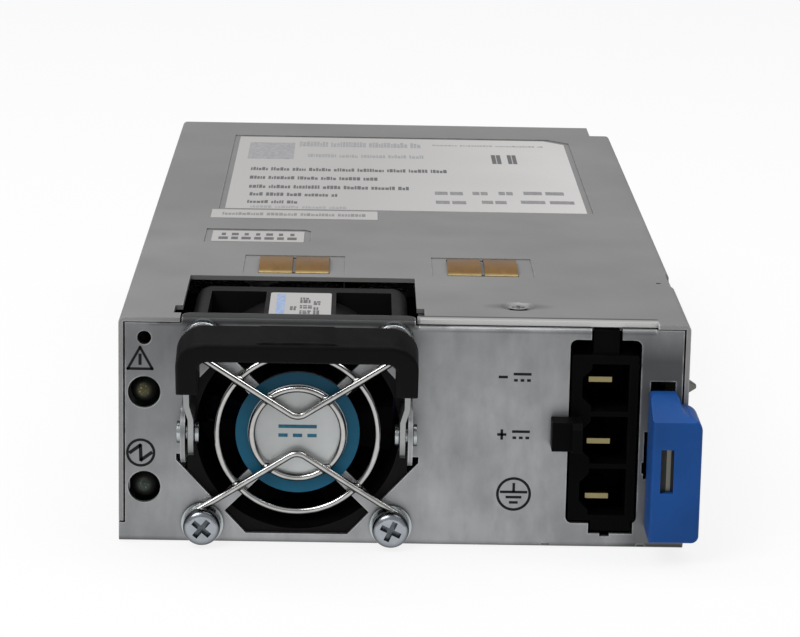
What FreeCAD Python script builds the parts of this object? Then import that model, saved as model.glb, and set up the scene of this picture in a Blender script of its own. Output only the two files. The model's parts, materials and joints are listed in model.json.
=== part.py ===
import FreeCAD, Part

import math
import os

# Switch power supply module: a slide-in unit with a fan, a folding handle, a three-blade DC inlet
# and a sprung side latch on its front, and a card edge at its rear.
# Millimetres, +Z up. The front panel faces -Y. The origin is the centre of the case's underside.

# Case
LENGTH = 196.0
WIDTH = 98.0
HEIGHT = 40.0
TRAY_SHEET = 0.8
COVER_SHEET = 0.8
BEND_RADIUS = 1.0
SEAM_HEIGHT = 3.4
SEAM_GAP = 0.3
SLIP = 0.2
TRAY_LIP_HEIGHT = 12.0
COVER_SETBACK = 1.3
TAB_DROP = 0.15
PANEL_FLANGE_DEPTH = 18.0
RIGHT_TAB_WIDTH = 5.6
TAB_CORNER = 1.8
FOLD_FACE = 3.0
FOOT_TURN = 4.0
REAR_NOTCH_WIDTH = 4.5
REAR_NOTCH_DEPTH = 10.5
RECESS_DEPTH = 0.25
EDGE_NOTCH_START = 30.0
EDGE_NOTCH_LENGTH = 11.0
EDGE_NOTCH_DROP = 1.5
PILOT_HOLE_FROM_RIGHT = 2.7
PILOT_HOLE_BEHIND = 32.5
PILOT_HOLE_RADIUS = 0.5
FOOT_NOTCHES_FROM_RIGHT = (24.0, 7.4)
FOOT_NOTCH_WIDTH = 1.4
FOOT_NOTCH_HEIGHT = 0.7

# Fan and its bay
FAN_TOP_DROP = 1.0
FAN_DEPTH = 28.0
FAN_FROM_LEFT = 11.8
FAN_CORNER = 3.0
FAN_WALL = 1.4
FAN_BARREL_WALL = 0.7
FAN_FLANGE = 3.6
FAN_WEB_HALF = 6.2
FAN_POST = 3.0
FAN_SCREW_INSET = 2.7
FAN_SEAT_GAP = 0.2
HUB_RADIUS = 9.4
HUB_WALL = 1.2
HUB_EDGE_RADIUS = 1.2
HUB_FRONT_GAP = 3.5
HUB_REAR_GAP = 3.0
HUB_BASE = 2.0
STRUT_WIDTH = 1.8
STRUT_THICKNESS = 1.6
BLADE_COUNT = 7
BLADE_TIP_GAP = 0.6
BLADE_THICKNESS = 0.9
BLADE_ROOT_CHORD = 14.0
BLADE_TIP_CHORD = 15.0
BLADE_ROOT_PITCH_DEG = 52.0
BLADE_TIP_PITCH_DEG = 36.0
SHAFT_RADIUS = 1.0
BEARING_WALL = 1.0
BEARING_TUBE_WALL = 0.9
BEARING_START = 8.0
STATOR_START = 10.0
STATOR_REAR_GAP = 3.5
STATOR_AIR_GAP = 0.4
STATOR_SHOE = 1.2
POLE_HALF_WIDTH = 1.1
COIL_THICKNESS = 0.9
COIL_OVERHANG = 1.0
RUNNING_FIT = 0.05
BAY_SIDE_GAP = 1.3
BAY_REAR_GAP = 4.4
BAY_RELIEF_WIDTH = 1.3
BAY_RELIEF_START = 3.8
BAY_RELIEF_DEPTH = 5.6
FAN_TOP_FLANGE_DEPTH = 4.0

# Fan opening in the panel, with the arms and disc left standing in it
OPENING_EAR_GAP = 2.0
OPENING_TOP_MARGIN = 0.8
OPENING_FLAT_HALF_WIDTH = 8.8
DISC_RADIUS = 10.7
STICKER_THICKNESS = 0.1
ARM_WIDTH = 2.4

# Finger guard
WIRE_RADIUS = 0.6
OUTER_RING_INSET = 3.7
INNER_RING_RADIUS = 7.9
RING_WELD = 0.1
EYELET_RADIUS = 2.6
VEE_TIP_HALF_HEIGHT = 2.9
VEE_BEND_RADIUS = 2.4
GUARD_SEAT_GAP = 0.05
GUARD_SCREW_RADIUS = 1.5
GUARD_SCREW_HEAD_RADIUS = 3.2
GUARD_SCREW_HEAD_HEIGHT = 2.0
GUARD_SCREW_REACH = 9.0
CROSS_HALF_LENGTH = 1.85
CROSS_HALF_WIDTH = 0.48
SCREW_TURNS_DEG = (40.0, 12.0, 25.0, 62.0)
CROSS_DEPTH = 1.1
WASHER_RADIUS = 3.65
EYELET_TURN_DEG = 280.0

# Folding handle
EAR_INSET = 0.1
EAR_RADIUS = 5.2
PIVOT_FORWARD = 4.6
PIVOT_RISE = 1.1
BAIL_LEAN_DEG = 20.0
BAIL_STAND = 1.05
BAIL_SHEET = 1.0
BAIL_SIDE_GAP = 0.4
BAIL_JOG = 0.7
BAIL_JOG_START = 4.4
BAIL_JOG_LENGTH = 2.4
BAIL_EYE_RADIUS = 4.0
BAIL_STRIP_WIDTH = 4.4
GRIP_LEG_START = 9.6
GRIP_LEG_WIDTH = 3.8
GRIP_BAR_HEIGHT = 3.6
GRIP_THICKNESS = 6.8
GRIP_CORNER_RADIUS = 5.0
GRIP_INNER_RADIUS = 1.6
GRIP_EDGE_RADIUS = 0.8
GRIP_COVER = 1.2
CROWN_HALF_WIDTH = 6.0
CROWN_HEIGHT = 0.35
RIVET_RADIUS = 1.4
RIVET_HEAD_RADIUS = 1.9
RIVET_HEAD_HEIGHT = 0.7

# Side latch
LATCH_SHEET = 0.9
LATCH_FROM_RIGHT = 3.9
LATCH_PIVOT_BEHIND = 70.0
LATCH_PIN_RADIUS = 1.5
LATCH_CURL_WALL = 0.9
LATCH_TONGUE_DROP = 4.8
LATCH_TONGUE_HEIGHT = 7.7
LATCH_BLADE_STEP = 0.6
LATCH_BLADE_MARGIN = 0.2
LATCH_BLADE_START = 5.0
LATCH_BLADE_SLOPE = 8.0
LATCH_PIN_FOOT = 0.4
TOOTH_BEHIND = 12.0
TOOTH_REACH = 2.6
TOOTH_RAMP = 8.0
TOOTH_FACE = 3.0
TOOTH_HALF_HEIGHT = 1.9
TOOTH_DROP = 13.9
TOOTH_TIP_HALF = 0.3
TOOTH_TIP_LENGTH = 0.8
TOOTH_WINDOW_CLEAR = 0.8
PAD_FORWARD = 10.0
PAD_CLEAR = 0.5
PAD_LEFT_FROM_RIGHT = 6.9
PAD_OVERHANG = 1.6
PAD_BOTTOM = 4.0
PAD_TOP_DROP = 11.5
PAD_SLOPE_DROP = 3.1
PAD_SLOPE_RUN = 6.6
PAD_SHOULDER_DROP = 2.4
PAD_SHOULDER_RADIUS = 2.3
PAD_NECK_RADIUS = 1.5
PAD_TOP_RADIUS = 0.8
PAD_FOOT_RADIUS = 1.3
PAD_NECK_WIDTH = 5.0
PAD_SLOT_WIDTH = 2.2
PAD_SLOT_DEPTH = 1.2
SLOT_SIDE_GAP = 0.3
PAD_EDGE_RADIUS = 0.7
LATCH_WINDOW_BELOW = 0.6
LATCH_WINDOW_ABOVE = 1.5
LATCH_WINDOW_INSET = 0.3
LATCH_RELIEF = 0.5
LATCH_RELIEF_GAP = 0.4
LATCH_WINDOW_FRAME = 1.2
WINDOW_NOTCH_WIDTH = 0.3
WINDOW_NOTCH_BOTTOM = 13.5
WINDOW_NOTCH_HEIGHT = 2.0

# DC inlet
INLET_FROM_RIGHT = 8.3
INLET_WIDTH = 12.3
INLET_CUT_BOTTOM = 4.4
INLET_CUT_DROP = 2.8
INLET_CUT_RADIUS = 1.2
INLET_NECK_START = 3.6
INLET_NECK_WIDTH = 5.3
INLET_FOOT_START = 4.0
INLET_FOOT_WIDTH = 7.7
INLET_FOOT_DROP = 1.8
INLET_CLEAR = 0.4
INLET_RIM_DROP = 2.8
INLET_TOP_WALL = 1.6
INLET_BOTTOM_WALL = 1.0
INLET_LEFT_WALL = 2.3
INLET_STEP = 1.6
INLET_STEP_HEIGHT = 0.9
INLET_DEPTH = 22.0
INLET_FRONT_BEHIND = 0.4
INLET_CAVITY_DEPTH = 14.0
INLET_RIGHT_WALL = 1.6
INLET_WEB = 0.9
INLET_KEY_WIDTH = 1.7
INLET_KEY_HEIGHT = 0.5
INLET_KEY_OFFSET = 1.0
LOCK_REACH = 3.0
LOCK_RISE = 1.7
LOCK_HEIGHT = 5.1
LOCK_FORWARD = 5.5
LOCK_LAP = 2.2
LOCK_HOOK_STEP = 1.2
LOCK_CHAMFER = 1.0
BLADE_WIDTH = 4.1
BLADE_SHEET = 1.0
BLADE_START = 3.5
BLADE_RISES = (0.85, -0.9, -1.5)
BLADE_LEG_INSET = 0.5
BLADE_TIP_BEHIND = 3.2
BLADE_LEG_STEP = 3.5

# Lamps and the small hole
LAMP_FROM_LEFT = 4.4
FAULT_LAMP_DROP = 13.2
POWER_LAMP_HEIGHT = 9.9
LAMP_RADIUS = 2.5
LAMP_HOLE_RADIUS = 2.8
LAMP_FLANGE_RADIUS = 2.9
LAMP_BODY_LENGTH = 8.6
LAMP_FLANGE = 1.0
LAMP_TIP_BEHIND = 0.5
LAMP_LEG = 0.6
LAMP_LEG_PITCH = 2.54
RESET_HOLE_RADIUS = 1.2
RESET_HOLE_DROP = 3.6
LAMP_BOARD_THICKNESS = 1.2
LAMP_BOARD_GAP = 1.5
LAMP_BOARD_MARGIN = 4.2

# Labels on the top, as distances from the left side and behind the front face
LABEL_THICKNESS = 0.1
RATING_LABEL_LEFT = 14.0
RATING_LABEL_FROM_RIGHT = 11.2
RATING_LABEL_START = 96.2
RATING_LABEL_FROM_REAR = 17.6
RATING_LABEL_CHAMFER = 4.4
RATING_RECESS_MARGIN = 1.2
STRIP_LABEL = (11.6, 44.6, 85.4, 93.6)
SMALL_LABEL = (12.7, 30.4, 64.2, 74.0)
SMALL_RECESS_MARGIN = 1.3
FAN_LABEL_WIDTH = 10.8
FAN_LABEL_DEPTH = 18.6
LABEL_CORNER = 0.3
FAN_LABEL_CORNER = 0.6

# Contact springs on the top
SPRING_CENTRES = (29.1, 63.7)
SPRING_FINGER_WIDTH = 6.1
SPRING_FINGER_GAP = 0.6
SPRING_BAY_GAP = 3.6
SPRING_LENGTH = 13.6
SPRING_SHEET = 0.25
SPRING_RISE = 0.7
SPRING_SLOPE = 3.2
SPRING_FOOT = 4.0
SPRING_SLOT = 1.0
SPRING_FIT = 0.1
SPRING_RECESS_SIDE = 2.9
SPRING_RECESS_DEPTH = 0.2

# Cover screw
COVER_SCREW_FROM_RIGHT = 29.1
COVER_SCREW_BEHIND = 12.3
COVER_SCREW_RADIUS = 1.25
COVER_SCREW_HEAD_RADIUS = 1.75
COVER_SCREW_LENGTH = 5.0
COVER_SCREW_HEAD = 0.4
COVER_CROSS_HALF_LENGTH = 1.1
COVER_CROSS_HALF_WIDTH = 0.3
COVER_CROSS_DEPTH = 0.5
DIMPLE_FLOOR_MARGIN = 0.9
DIMPLE_RADIUS = 3.2
DIMPLE_DEPTH = 0.5
SCREW_BOSS_RADIUS = 2.2
SCREW_BOSS_HEIGHT = 3.0

# Boards and what stands on them
LINER_THICKNESS = 0.3
STANDOFF_HEIGHT = 5.0
STANDOFF_RADIUS = 2.4
BOARD_THICKNESS = 1.6
BOARD_LEFT = 3.0
BOARD_FROM_RIGHT = 7.6
BOARD_FAN_GAP = 7.0
BOARD_FROM_REAR = 8.0
BOARD_INLET_GAP = 2.5
BOARD_STEP_GAP = 5.2
CARD_WIDTH = 58.0
CARD_KEY_START = 19.4
CARD_KEY_WIDTH = 1.6
CARD_KEY_CLEAR = 0.9
CARD_REACH = 8.0
CARD_PITCH = 2.54
CARD_FINGER_WIDTH = 1.6
CARD_FINGER_LENGTH = 7.0
CARD_FINGER_THICKNESS = 0.1
BOARD_SCREW_RADIUS = 1.3
BOARD_SCREW_HEAD_RADIUS = 2.5
BOARD_SCREW_HEAD_HEIGHT = 1.6
STANDOFF_INSET = 5.0
LINER_SIDE_MARGIN = 0.4
LINER_FRONT_GAP = 1.0
REAR_SLOT_CLEAR = 1.2
VENT_PITCH = 6.0
VENT_WIDTH = 3.0
VENT_BOTTOM = 14.0
VENT_TOP_DROP = 5.0
HEADROOM = 5.5
COMPONENT_GAP = 1.0

# Power components on the main board
INPUT_CAN_RADIUS = 7.5
INPUT_CAN_FROM_LEFT = 14.0
INPUT_CAN_PITCH = 17.0
INPUT_CAN_GAP = 1.0
OUTPUT_CAN_RADIUS = 4.0
OUTPUT_CAN_HEIGHT = 18.0
OUTPUT_CAN_FROM_LEFT = 20.0
OUTPUT_CAN_FROM_REAR = 20.0
OUTPUT_CAN_PITCH = 11.0
OUTPUT_CAN_FROM_RIGHT = 20.0
CAN_GROOVE_RADIUS = 0.7
CAN_GROOVE_HEIGHT = 2.4
CAN_EDGE_RADIUS = 0.8
CHOKE_FROM_RIGHT = 28.0
CHOKE_RING_RADIUS = 8.0
CHOKE_WIRE_RADIUS = 4.0
CHOKE_BASE_RADIUS = 8.6
CHOKE_BASE_THICKNESS = 0.8
TRANSFORMER_GAP = 25.0
CORE_WIDTH = 28.0
CORE_DEPTH = 22.0
CORE_BELOW = 2.0
CORE_YOKE = 5.0
CORE_LEG = 4.0
CORE_LIMB = 8.0
CORE_EDGE_RADIUS = 0.8
WINDING_FIT = 0.2
WINDING_OVERHANG = 5.0
WINDING_CORNER = 3.0
BOBBIN_RAIL = 4.4
OUTPUT_CHOKE_SIZE = 18.0
OUTPUT_CHOKE_HEIGHT = 16.0
OUTPUT_CHOKE_CORNER = 1.5
OUTPUT_CHOKE_WELL = 5.0
SINK_FROM_BOARD_LEFT = 14.0
SINK_FROM_BOARD_RIGHT = 11.4
SINK_START = 86.0
SINK_FROM_REAR = 36.0
SINK_PLATE = 2.4
SINK_FIN = 1.2
SINK_FIN_REACH = 8.0
SINK_FIN_COUNT = 6
SINK_HEADROOM = 4.0
TRANSISTOR_COUNT = 3
TRANSISTOR_WIDTH = 10.0
TRANSISTOR_THICKNESS = 4.4
TRANSISTOR_HEIGHT = 14.0
TRANSISTOR_LIFT = 6.0
TRANSISTOR_LEG_PITCH = 2.54
TRANSISTOR_LEG_WIDTH = 1.0
TRANSISTOR_LEG_THICKNESS = 0.6

# Places worked out from the sizes above
SIDE = WIDTH / 2
FRONT = -LENGTH / 2
REAR = LENGTH / 2
COVER_INNER = SIDE - COVER_SHEET
LIP_OUTER = COVER_INNER - SLIP
LIP_INNER = LIP_OUTER - TRAY_SHEET
PANEL_HALF = COVER_INNER - SEAM_GAP
UNDER_COVER = HEIGHT - COVER_SHEET
TAB_TOP = UNDER_COVER - TAB_DROP
PANEL_BACK = FRONT + TRAY_SHEET
FAN_SIZE = HEIGHT - FAN_TOP_DROP - TRAY_SHEET - FAN_SEAT_GAP
FAN_BORE_RADIUS = FAN_SIZE / 2 - FAN_WALL
FAN_BARREL_RADIUS = FAN_BORE_RADIUS + FAN_BARREL_WALL
FAN_X = FAN_FROM_LEFT + FAN_SIZE / 2 - SIDE
FAN_Z = TRAY_SHEET + FAN_SEAT_GAP + FAN_SIZE / 2
FAN_FRONT = PANEL_BACK + FAN_SEAT_GAP
FAN_REAR = FAN_FRONT + FAN_DEPTH
FAN_SCREW_OFFSET = FAN_SIZE / 2 - FAN_SCREW_INSET
FAN_END = FAN_REAR - FRONT
BAY_DEPTH = FAN_END + BAY_REAR_GAP
SPRING_START = BAY_DEPTH + SPRING_BAY_GAP
HUB_FRONT = FAN_FRONT + HUB_FRONT_GAP
HUB_REAR = FAN_REAR - HUB_REAR_GAP
BEARING_OUTER = SHAFT_RADIUS + RUNNING_FIT + BEARING_WALL
BEARING_TUBE_OUTER = BEARING_OUTER + BEARING_TUBE_WALL
BAY_LEFT = FAN_X - FAN_SIZE / 2 - BAY_SIDE_GAP
BAY_RIGHT = FAN_X + FAN_SIZE / 2 + BAY_SIDE_GAP
OUTER_RING_RADIUS = FAN_BORE_RADIUS - OUTER_RING_INSET
RIGHT_TAB_X = SIDE - RIGHT_TAB_WIDTH
RING_Y = FRONT - GUARD_SEAT_GAP - WIRE_RADIUS
VEE_Y = RING_Y - 2 * WIRE_RADIUS + RING_WELD
WASHER_THICKNESS = FRONT - VEE_Y - WIRE_RADIUS - GUARD_SEAT_GAP
HEAD_SEAT_Y = VEE_Y - WIRE_RADIUS - GUARD_SEAT_GAP
PIVOT_Y = FRONT - PIVOT_FORWARD
PIVOT_HEIGHT = FAN_Z + PIVOT_RISE
BAIL_REACH = HEIGHT + BAIL_STAND - PIVOT_HEIGHT
EAR_HALF_GAP = FAN_SIZE / 2 - EAR_INSET
OPENING_HALF_WIDTH = EAR_HALF_GAP + OPENING_EAR_GAP
OPENING_HALF_HEIGHT = FAN_SIZE / 2 - OPENING_TOP_MARGIN
OPENING_FLAT_HALF_HEIGHT = EAR_RADIUS
ARM_OUTER = EAR_HALF_GAP - BAIL_SIDE_GAP
ARM_INNER = ARM_OUTER - BAIL_SHEET
EAR_OUTER = EAR_HALF_GAP + TRAY_SHEET
LATCH_X = SIDE - LATCH_FROM_RIGHT
LATCH_PIVOT_Y = FRONT + LATCH_PIVOT_BEHIND
LATCH_CURL_INNER = LATCH_PIN_RADIUS + RUNNING_FIT
LATCH_CURL_OUTER = LATCH_CURL_INNER + LATCH_CURL_WALL
TOOTH_HEIGHT = HEIGHT - TOOTH_DROP
LATCH_BLADE_TOP = TOOTH_HEIGHT + TOOTH_HALF_HEIGHT + LATCH_BLADE_MARGIN
PAD_LEFT = SIDE - PAD_LEFT_FROM_RIGHT
PAD_RIGHT = SIDE + PAD_OVERHANG
PAD_FRONT = FRONT - PAD_FORWARD
PAD_BACK = FRONT - PAD_CLEAR
PAD_TOP = HEIGHT - PAD_TOP_DROP
PAD_SLOPE_START = PAD_TOP - PAD_SLOPE_DROP
PAD_SHOULDER = PAD_TOP - PAD_SHOULDER_DROP
LATCH_TONGUE_TOP = PAD_SLOPE_START - LATCH_TONGUE_DROP
LATCH_TONGUE_BOTTOM = LATCH_TONGUE_TOP - LATCH_TONGUE_HEIGHT
LATCH_BLADE_BOTTOM = LATCH_TONGUE_BOTTOM + LATCH_BLADE_STEP
LATCH_WINDOW_BOTTOM = PAD_BOTTOM - LATCH_WINDOW_BELOW
LATCH_WINDOW_TOP = PAD_TOP + LATCH_WINDOW_ABOVE
LATCH_WINDOW_LEFT = PAD_LEFT + LATCH_WINDOW_INSET
LATCH_RELIEF_LEFT = PAD_LEFT - LATCH_RELIEF
INLET_RIGHT = SIDE - INLET_FROM_RIGHT
INLET_LEFT = INLET_RIGHT - INLET_WIDTH
INLET_CUT_TOP = HEIGHT - INLET_CUT_DROP
INLET_RIM_TOP = INLET_CUT_TOP - INLET_RIM_DROP
INLET_NECK_LEFT = INLET_LEFT + INLET_NECK_START
INLET_NECK_RIGHT = INLET_NECK_LEFT + INLET_NECK_WIDTH
INLET_FOOT_LEFT = INLET_LEFT + INLET_FOOT_START
INLET_FOOT_RIGHT = INLET_FOOT_LEFT + INLET_FOOT_WIDTH
INLET_FOOT_BOTTOM = INLET_CUT_BOTTOM - INLET_FOOT_DROP
INLET_BOTTOM = INLET_CUT_BOTTOM + INLET_CLEAR
CAVITY_BOTTOM = INLET_BOTTOM + INLET_BOTTOM_WALL
CAVITY_HEIGHT = (INLET_RIM_TOP - INLET_TOP_WALL - CAVITY_BOTTOM - 2 * INLET_WEB) / 3
BLADE_LEFT = INLET_LEFT + BLADE_START
LINER_TOP = TRAY_SHEET + LINER_THICKNESS
BOARD_BOTTOM = LINER_TOP + STANDOFF_HEIGHT
BOARD_TOP = BOARD_BOTTOM + BOARD_THICKNESS
BOARD_X0 = BOARD_LEFT - SIDE
BOARD_X1 = SIDE - BOARD_FROM_RIGHT
BOARD_STEP_START = INLET_DEPTH + BOARD_INLET_GAP
BOARD_STEP_X = FAN_X + FAN_SIZE / 2 + BOARD_STEP_GAP
BOARD_END = LENGTH - BOARD_FROM_REAR
CARD_HALF = CARD_WIDTH / 2
VENT_TOP = HEIGHT - VENT_TOP_DROP
COMPONENT_TOP = UNDER_COVER - HEADROOM
CHOKE_X = SIDE - CHOKE_FROM_RIGHT
CHOKE_HALF = CHOKE_RING_RADIUS + CHOKE_WIRE_RADIUS
BOARD_START = FAN_END + BOARD_FAN_GAP
COMPONENT_START = BOARD_START + STANDOFF_INSET + BOARD_SCREW_HEAD_RADIUS + COMPONENT_GAP
INPUT_CAN_BEHIND = COMPONENT_START + INPUT_CAN_RADIUS
CHOKE_BEHIND = COMPONENT_START + CHOKE_HALF
TRANSFORMER_BEHIND = CHOKE_BEHIND + CHOKE_HALF + TRANSFORMER_GAP + CORE_DEPTH / 2
CORE_BOTTOM = BOARD_TOP + CORE_BELOW
WINDOW_BOTTOM = CORE_BOTTOM + CORE_YOKE
WINDOW_TOP = COMPONENT_TOP - CORE_YOKE
WINDING_HALF_DEPTH = CORE_DEPTH / 2 + WINDING_OVERHANG
OUTPUT_CAN_BEHIND = LENGTH - OUTPUT_CAN_FROM_REAR
SINK_END = LENGTH - SINK_FROM_REAR
SINK_LEFT_X = BOARD_X0 + SINK_FROM_BOARD_LEFT
SINK_RIGHT_X = BOARD_X1 - SINK_FROM_BOARD_RIGHT
MIDDLE_X = (SINK_LEFT_X + SINK_RIGHT_X) / 2
CORE_HALF_WIDTH = CORE_WIDTH / 2
RECESS_FLOOR = HEIGHT - RECESS_DEPTH
LAMP_X = LAMP_FROM_LEFT - SIDE
LAMP_BOARD_Y = FRONT + LAMP_TIP_BEHIND + LAMP_BODY_LENGTH + LAMP_BOARD_GAP
FAULT_LAMP_HEIGHT = HEIGHT - FAULT_LAMP_DROP
RESET_HOLE_HEIGHT = HEIGHT - RESET_HOLE_DROP
COVER_SCREW_X = SIDE - COVER_SCREW_FROM_RIGHT


def v(x, y, z):
    return FreeCAD.Vector(x, y, z)


def across(distance):
    """X of a place given as its distance from the left side."""
    return distance - SIDE


def behind(distance):
    """Y of a place given as its distance behind the front face."""
    return FRONT + distance


def box(x0, x1, y0, y1, z0, z1):
    return Part.makeBox(x1 - x0, y1 - y0, z1 - z0, v(x0, y0, z0))


def rod_x(radius, x0, x1, y, z):
    return Part.makeCylinder(radius, x1 - x0, v(x0, y, z), v(1, 0, 0))


def rod_y(radius, x, y0, y1, z):
    return Part.makeCylinder(radius, y1 - y0, v(x, y0, z), v(0, 1, 0))


def rod_z(radius, x, y, z0, z1):
    return Part.makeCylinder(radius, z1 - z0, v(x, y, z0), v(0, 0, 1))


def prism_x(points, x0, x1):
    """Outline of (y, z) points, extruded along X."""
    wire = Part.makePolygon([v(x0, y, z) for y, z in points + points[:1]])
    return Part.Face(wire).extrude(v(x1 - x0, 0, 0))


def prism_y(points, y0, y1):
    """Outline of (x, z) points, extruded along Y."""
    wire = Part.makePolygon([v(x, y0, z) for x, z in points + points[:1]])
    return Part.Face(wire).extrude(v(0, y1 - y0, 0))


def prism_z(points, z0, z1):
    """Outline of (x, y) points, extruded along Z."""
    wire = Part.makePolygon([v(x, y, z0) for x, y in points + points[:1]])
    return Part.Face(wire).extrude(v(0, 0, z1 - z0))


def along(axis, shape, radius, keep=None):
    """Rounds the straight edges that run along one axis, those that keep() accepts."""
    chosen = []
    for edge in shape.Edges:
        if edge.Curve.TypeId != "Part::GeomLine":
            continue
        direction = edge.tangentAt(edge.FirstParameter)
        if abs(direction.dot(axis)) < 0.999:
            continue
        if keep is None or keep(edge.CenterOfMass):
            chosen.append(edge)
    return shape.makeFillet(radius, chosen)


X_AXIS = v(1, 0, 0)
Y_AXIS = v(0, 1, 0)
Z_AXIS = v(0, 0, 1)


def rounded_bar_y(half_x, half_z, corner, x, z, y0, y1):
    """Bar along Y with a rounded rectangle for its section."""
    bar = box(x - half_x, x + half_x, y0, y1, z - half_z, z + half_z)
    return along(Y_AXIS, bar, corner)


def fuse(first, *others):
    return first.fuse(list(others)).removeSplitter()


def cut(first, *others):
    return first.cut(list(others))


def corners(half):
    """The four screw places round the fan's axis."""
    return [(sx * half, sz * half) for sx in (-1, 1) for sz in (-1, 1)]


def save(name, *solids):
    shape = solids[0] if len(solids) == 1 else Part.makeCompound(list(solids))
    shape.exportStep("parts/%s.step" % name)


# Tray: the floor, the front panel and the rear wall, folded from one sheet

def fan_opening():
    """Eight-sided opening, less the four arms and the disc that stay in it."""
    w, h = OPENING_HALF_WIDTH, OPENING_HALF_HEIGHT
    fw, fh = OPENING_FLAT_HALF_WIDTH, OPENING_FLAT_HALF_HEIGHT
    outline = [(w, -fh), (w, fh), (fw, h), (-fw, h), (-w, fh), (-w, -fh), (-fw, -h), (fw, -h)]
    y0, y1 = FRONT - 1, PANEL_BACK + 1
    hole = prism_y([(FAN_X + x, FAN_Z + z) for x, z in outline], y0, y1)
    stay = [rod_y(DISC_RADIUS, FAN_X, y0, y1, FAN_Z)]
    for angle in (45, 135):
        arm = box(-SIDE, SIDE, y0, y1, -ARM_WIDTH / 2, ARM_WIDTH / 2)
        arm.rotate(v(0, 0, 0), Y_AXIS, angle)
        arm.translate(v(FAN_X, 0, FAN_Z))
        stay.append(arm)
    return hole.cut(stay)


def panel_ear(side):
    """Tab at one side of the opening, bent forward to carry the handle's pivot."""
    x0, x1 = sorted((side * EAR_HALF_GAP, side * EAR_OUTER))
    root0, root1 = sorted((side * EAR_HALF_GAP, side * (OPENING_HALF_WIDTH + 1)))
    blade = box(FAN_X + x0, FAN_X + x1, PIVOT_Y, PANEL_BACK,
                PIVOT_HEIGHT - EAR_RADIUS, PIVOT_HEIGHT + EAR_RADIUS)
    nose = rod_x(EAR_RADIUS, FAN_X + x0, FAN_X + x1, PIVOT_Y, PIVOT_HEIGHT)
    root = box(FAN_X + root0, FAN_X + root1, FRONT, PANEL_BACK,
               PIVOT_HEIGHT - EAR_RADIUS, PIVOT_HEIGHT + EAR_RADIUS)
    hole = rod_x(RIVET_RADIUS, FAN_X + x0 - 1, FAN_X + x1 + 1, PIVOT_Y, PIVOT_HEIGHT)
    return fuse(blade, nose, root).cut(hole)


def inlet_cutout():
    y0, y1 = FRONT - 1, PANEL_BACK + 1
    mid_z = (INLET_CUT_BOTTOM + INLET_CUT_TOP) / 2
    main = rounded_bar_y(INLET_WIDTH / 2, (INLET_CUT_TOP - INLET_CUT_BOTTOM) / 2, INLET_CUT_RADIUS,
                         (INLET_LEFT + INLET_RIGHT) / 2, mid_z, y0, y1)
    neck = box(INLET_NECK_LEFT, INLET_NECK_RIGHT, y0, PANEL_BACK + BEND_RADIUS + 1, mid_z, HEIGHT)
    foot = box(INLET_FOOT_LEFT, INLET_FOOT_RIGHT, y0, y1, INLET_FOOT_BOTTOM, mid_z)
    key_x = (INLET_FOOT_LEFT + INLET_FOOT_RIGHT) / 2 - INLET_KEY_OFFSET
    key = box(key_x - INLET_KEY_WIDTH / 2, key_x + INLET_KEY_WIDTH / 2, y0, y1,
              INLET_FOOT_BOTTOM - INLET_KEY_HEIGHT, mid_z)
    return fuse(main, neck, foot, key)


def latch_window():
    """Window that the latch's tongue and pad move in, with a small notch in its left side."""
    y0, y1 = FRONT - 1, PANEL_BACK + 1
    window = box(LATCH_WINDOW_LEFT, PANEL_HALF - LATCH_WINDOW_FRAME, y0, y1,
                 LATCH_WINDOW_BOTTOM, LATCH_WINDOW_TOP)
    relief = box(LATCH_RELIEF_LEFT, LATCH_WINDOW_LEFT + 1, y0, y1,
                 LATCH_TONGUE_BOTTOM - LATCH_RELIEF_GAP, LATCH_TONGUE_TOP + LATCH_RELIEF_GAP)
    notch = box(LATCH_RELIEF_LEFT - WINDOW_NOTCH_WIDTH, LATCH_RELIEF_LEFT + 1, y0, y1,
                WINDOW_NOTCH_BOTTOM, WINDOW_NOTCH_BOTTOM + WINDOW_NOTCH_HEIGHT)
    return fuse(window, relief, notch)


def foot_notches():
    """Two small nicks in the panel's lower edge."""
    nicks = []
    for place in FOOT_NOTCHES_FROM_RIGHT:
        x = SIDE - place
        nicks.append(box(x - FOOT_NOTCH_WIDTH / 2, x + FOOT_NOTCH_WIDTH / 2, FRONT - 1, PANEL_BACK,
                         -1, FOOT_NOTCH_HEIGHT))
    return nicks


def folded_edge(x0, x1, top, depth, corner):
    """Top of the panel between two places, folded back into a flange."""
    face = box(x0, x1, FRONT, PANEL_BACK, top - FOLD_FACE, top)
    flange = box(x0, x1, FRONT, behind(depth), top - TRAY_SHEET, top)
    fold = along(X_AXIS, fuse(face, flange), BEND_RADIUS,
                 lambda c: abs(c.y - FRONT) < 0.01 and abs(c.z - top) < 0.01)
    if corner:
        rear = behind(depth)
        low, high = top - FOLD_FACE, top + 1
        cutter = box(x0 - 1, x1 + 1, rear - corner, rear + 1, low, high)
        keep = along(Z_AXIS, box(x0, x1, FRONT, rear, low, high), corner,
                     lambda c: abs(c.y - rear) < 0.01)
        fold = fold.cut(cutter.cut(keep))
    return fold


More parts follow.
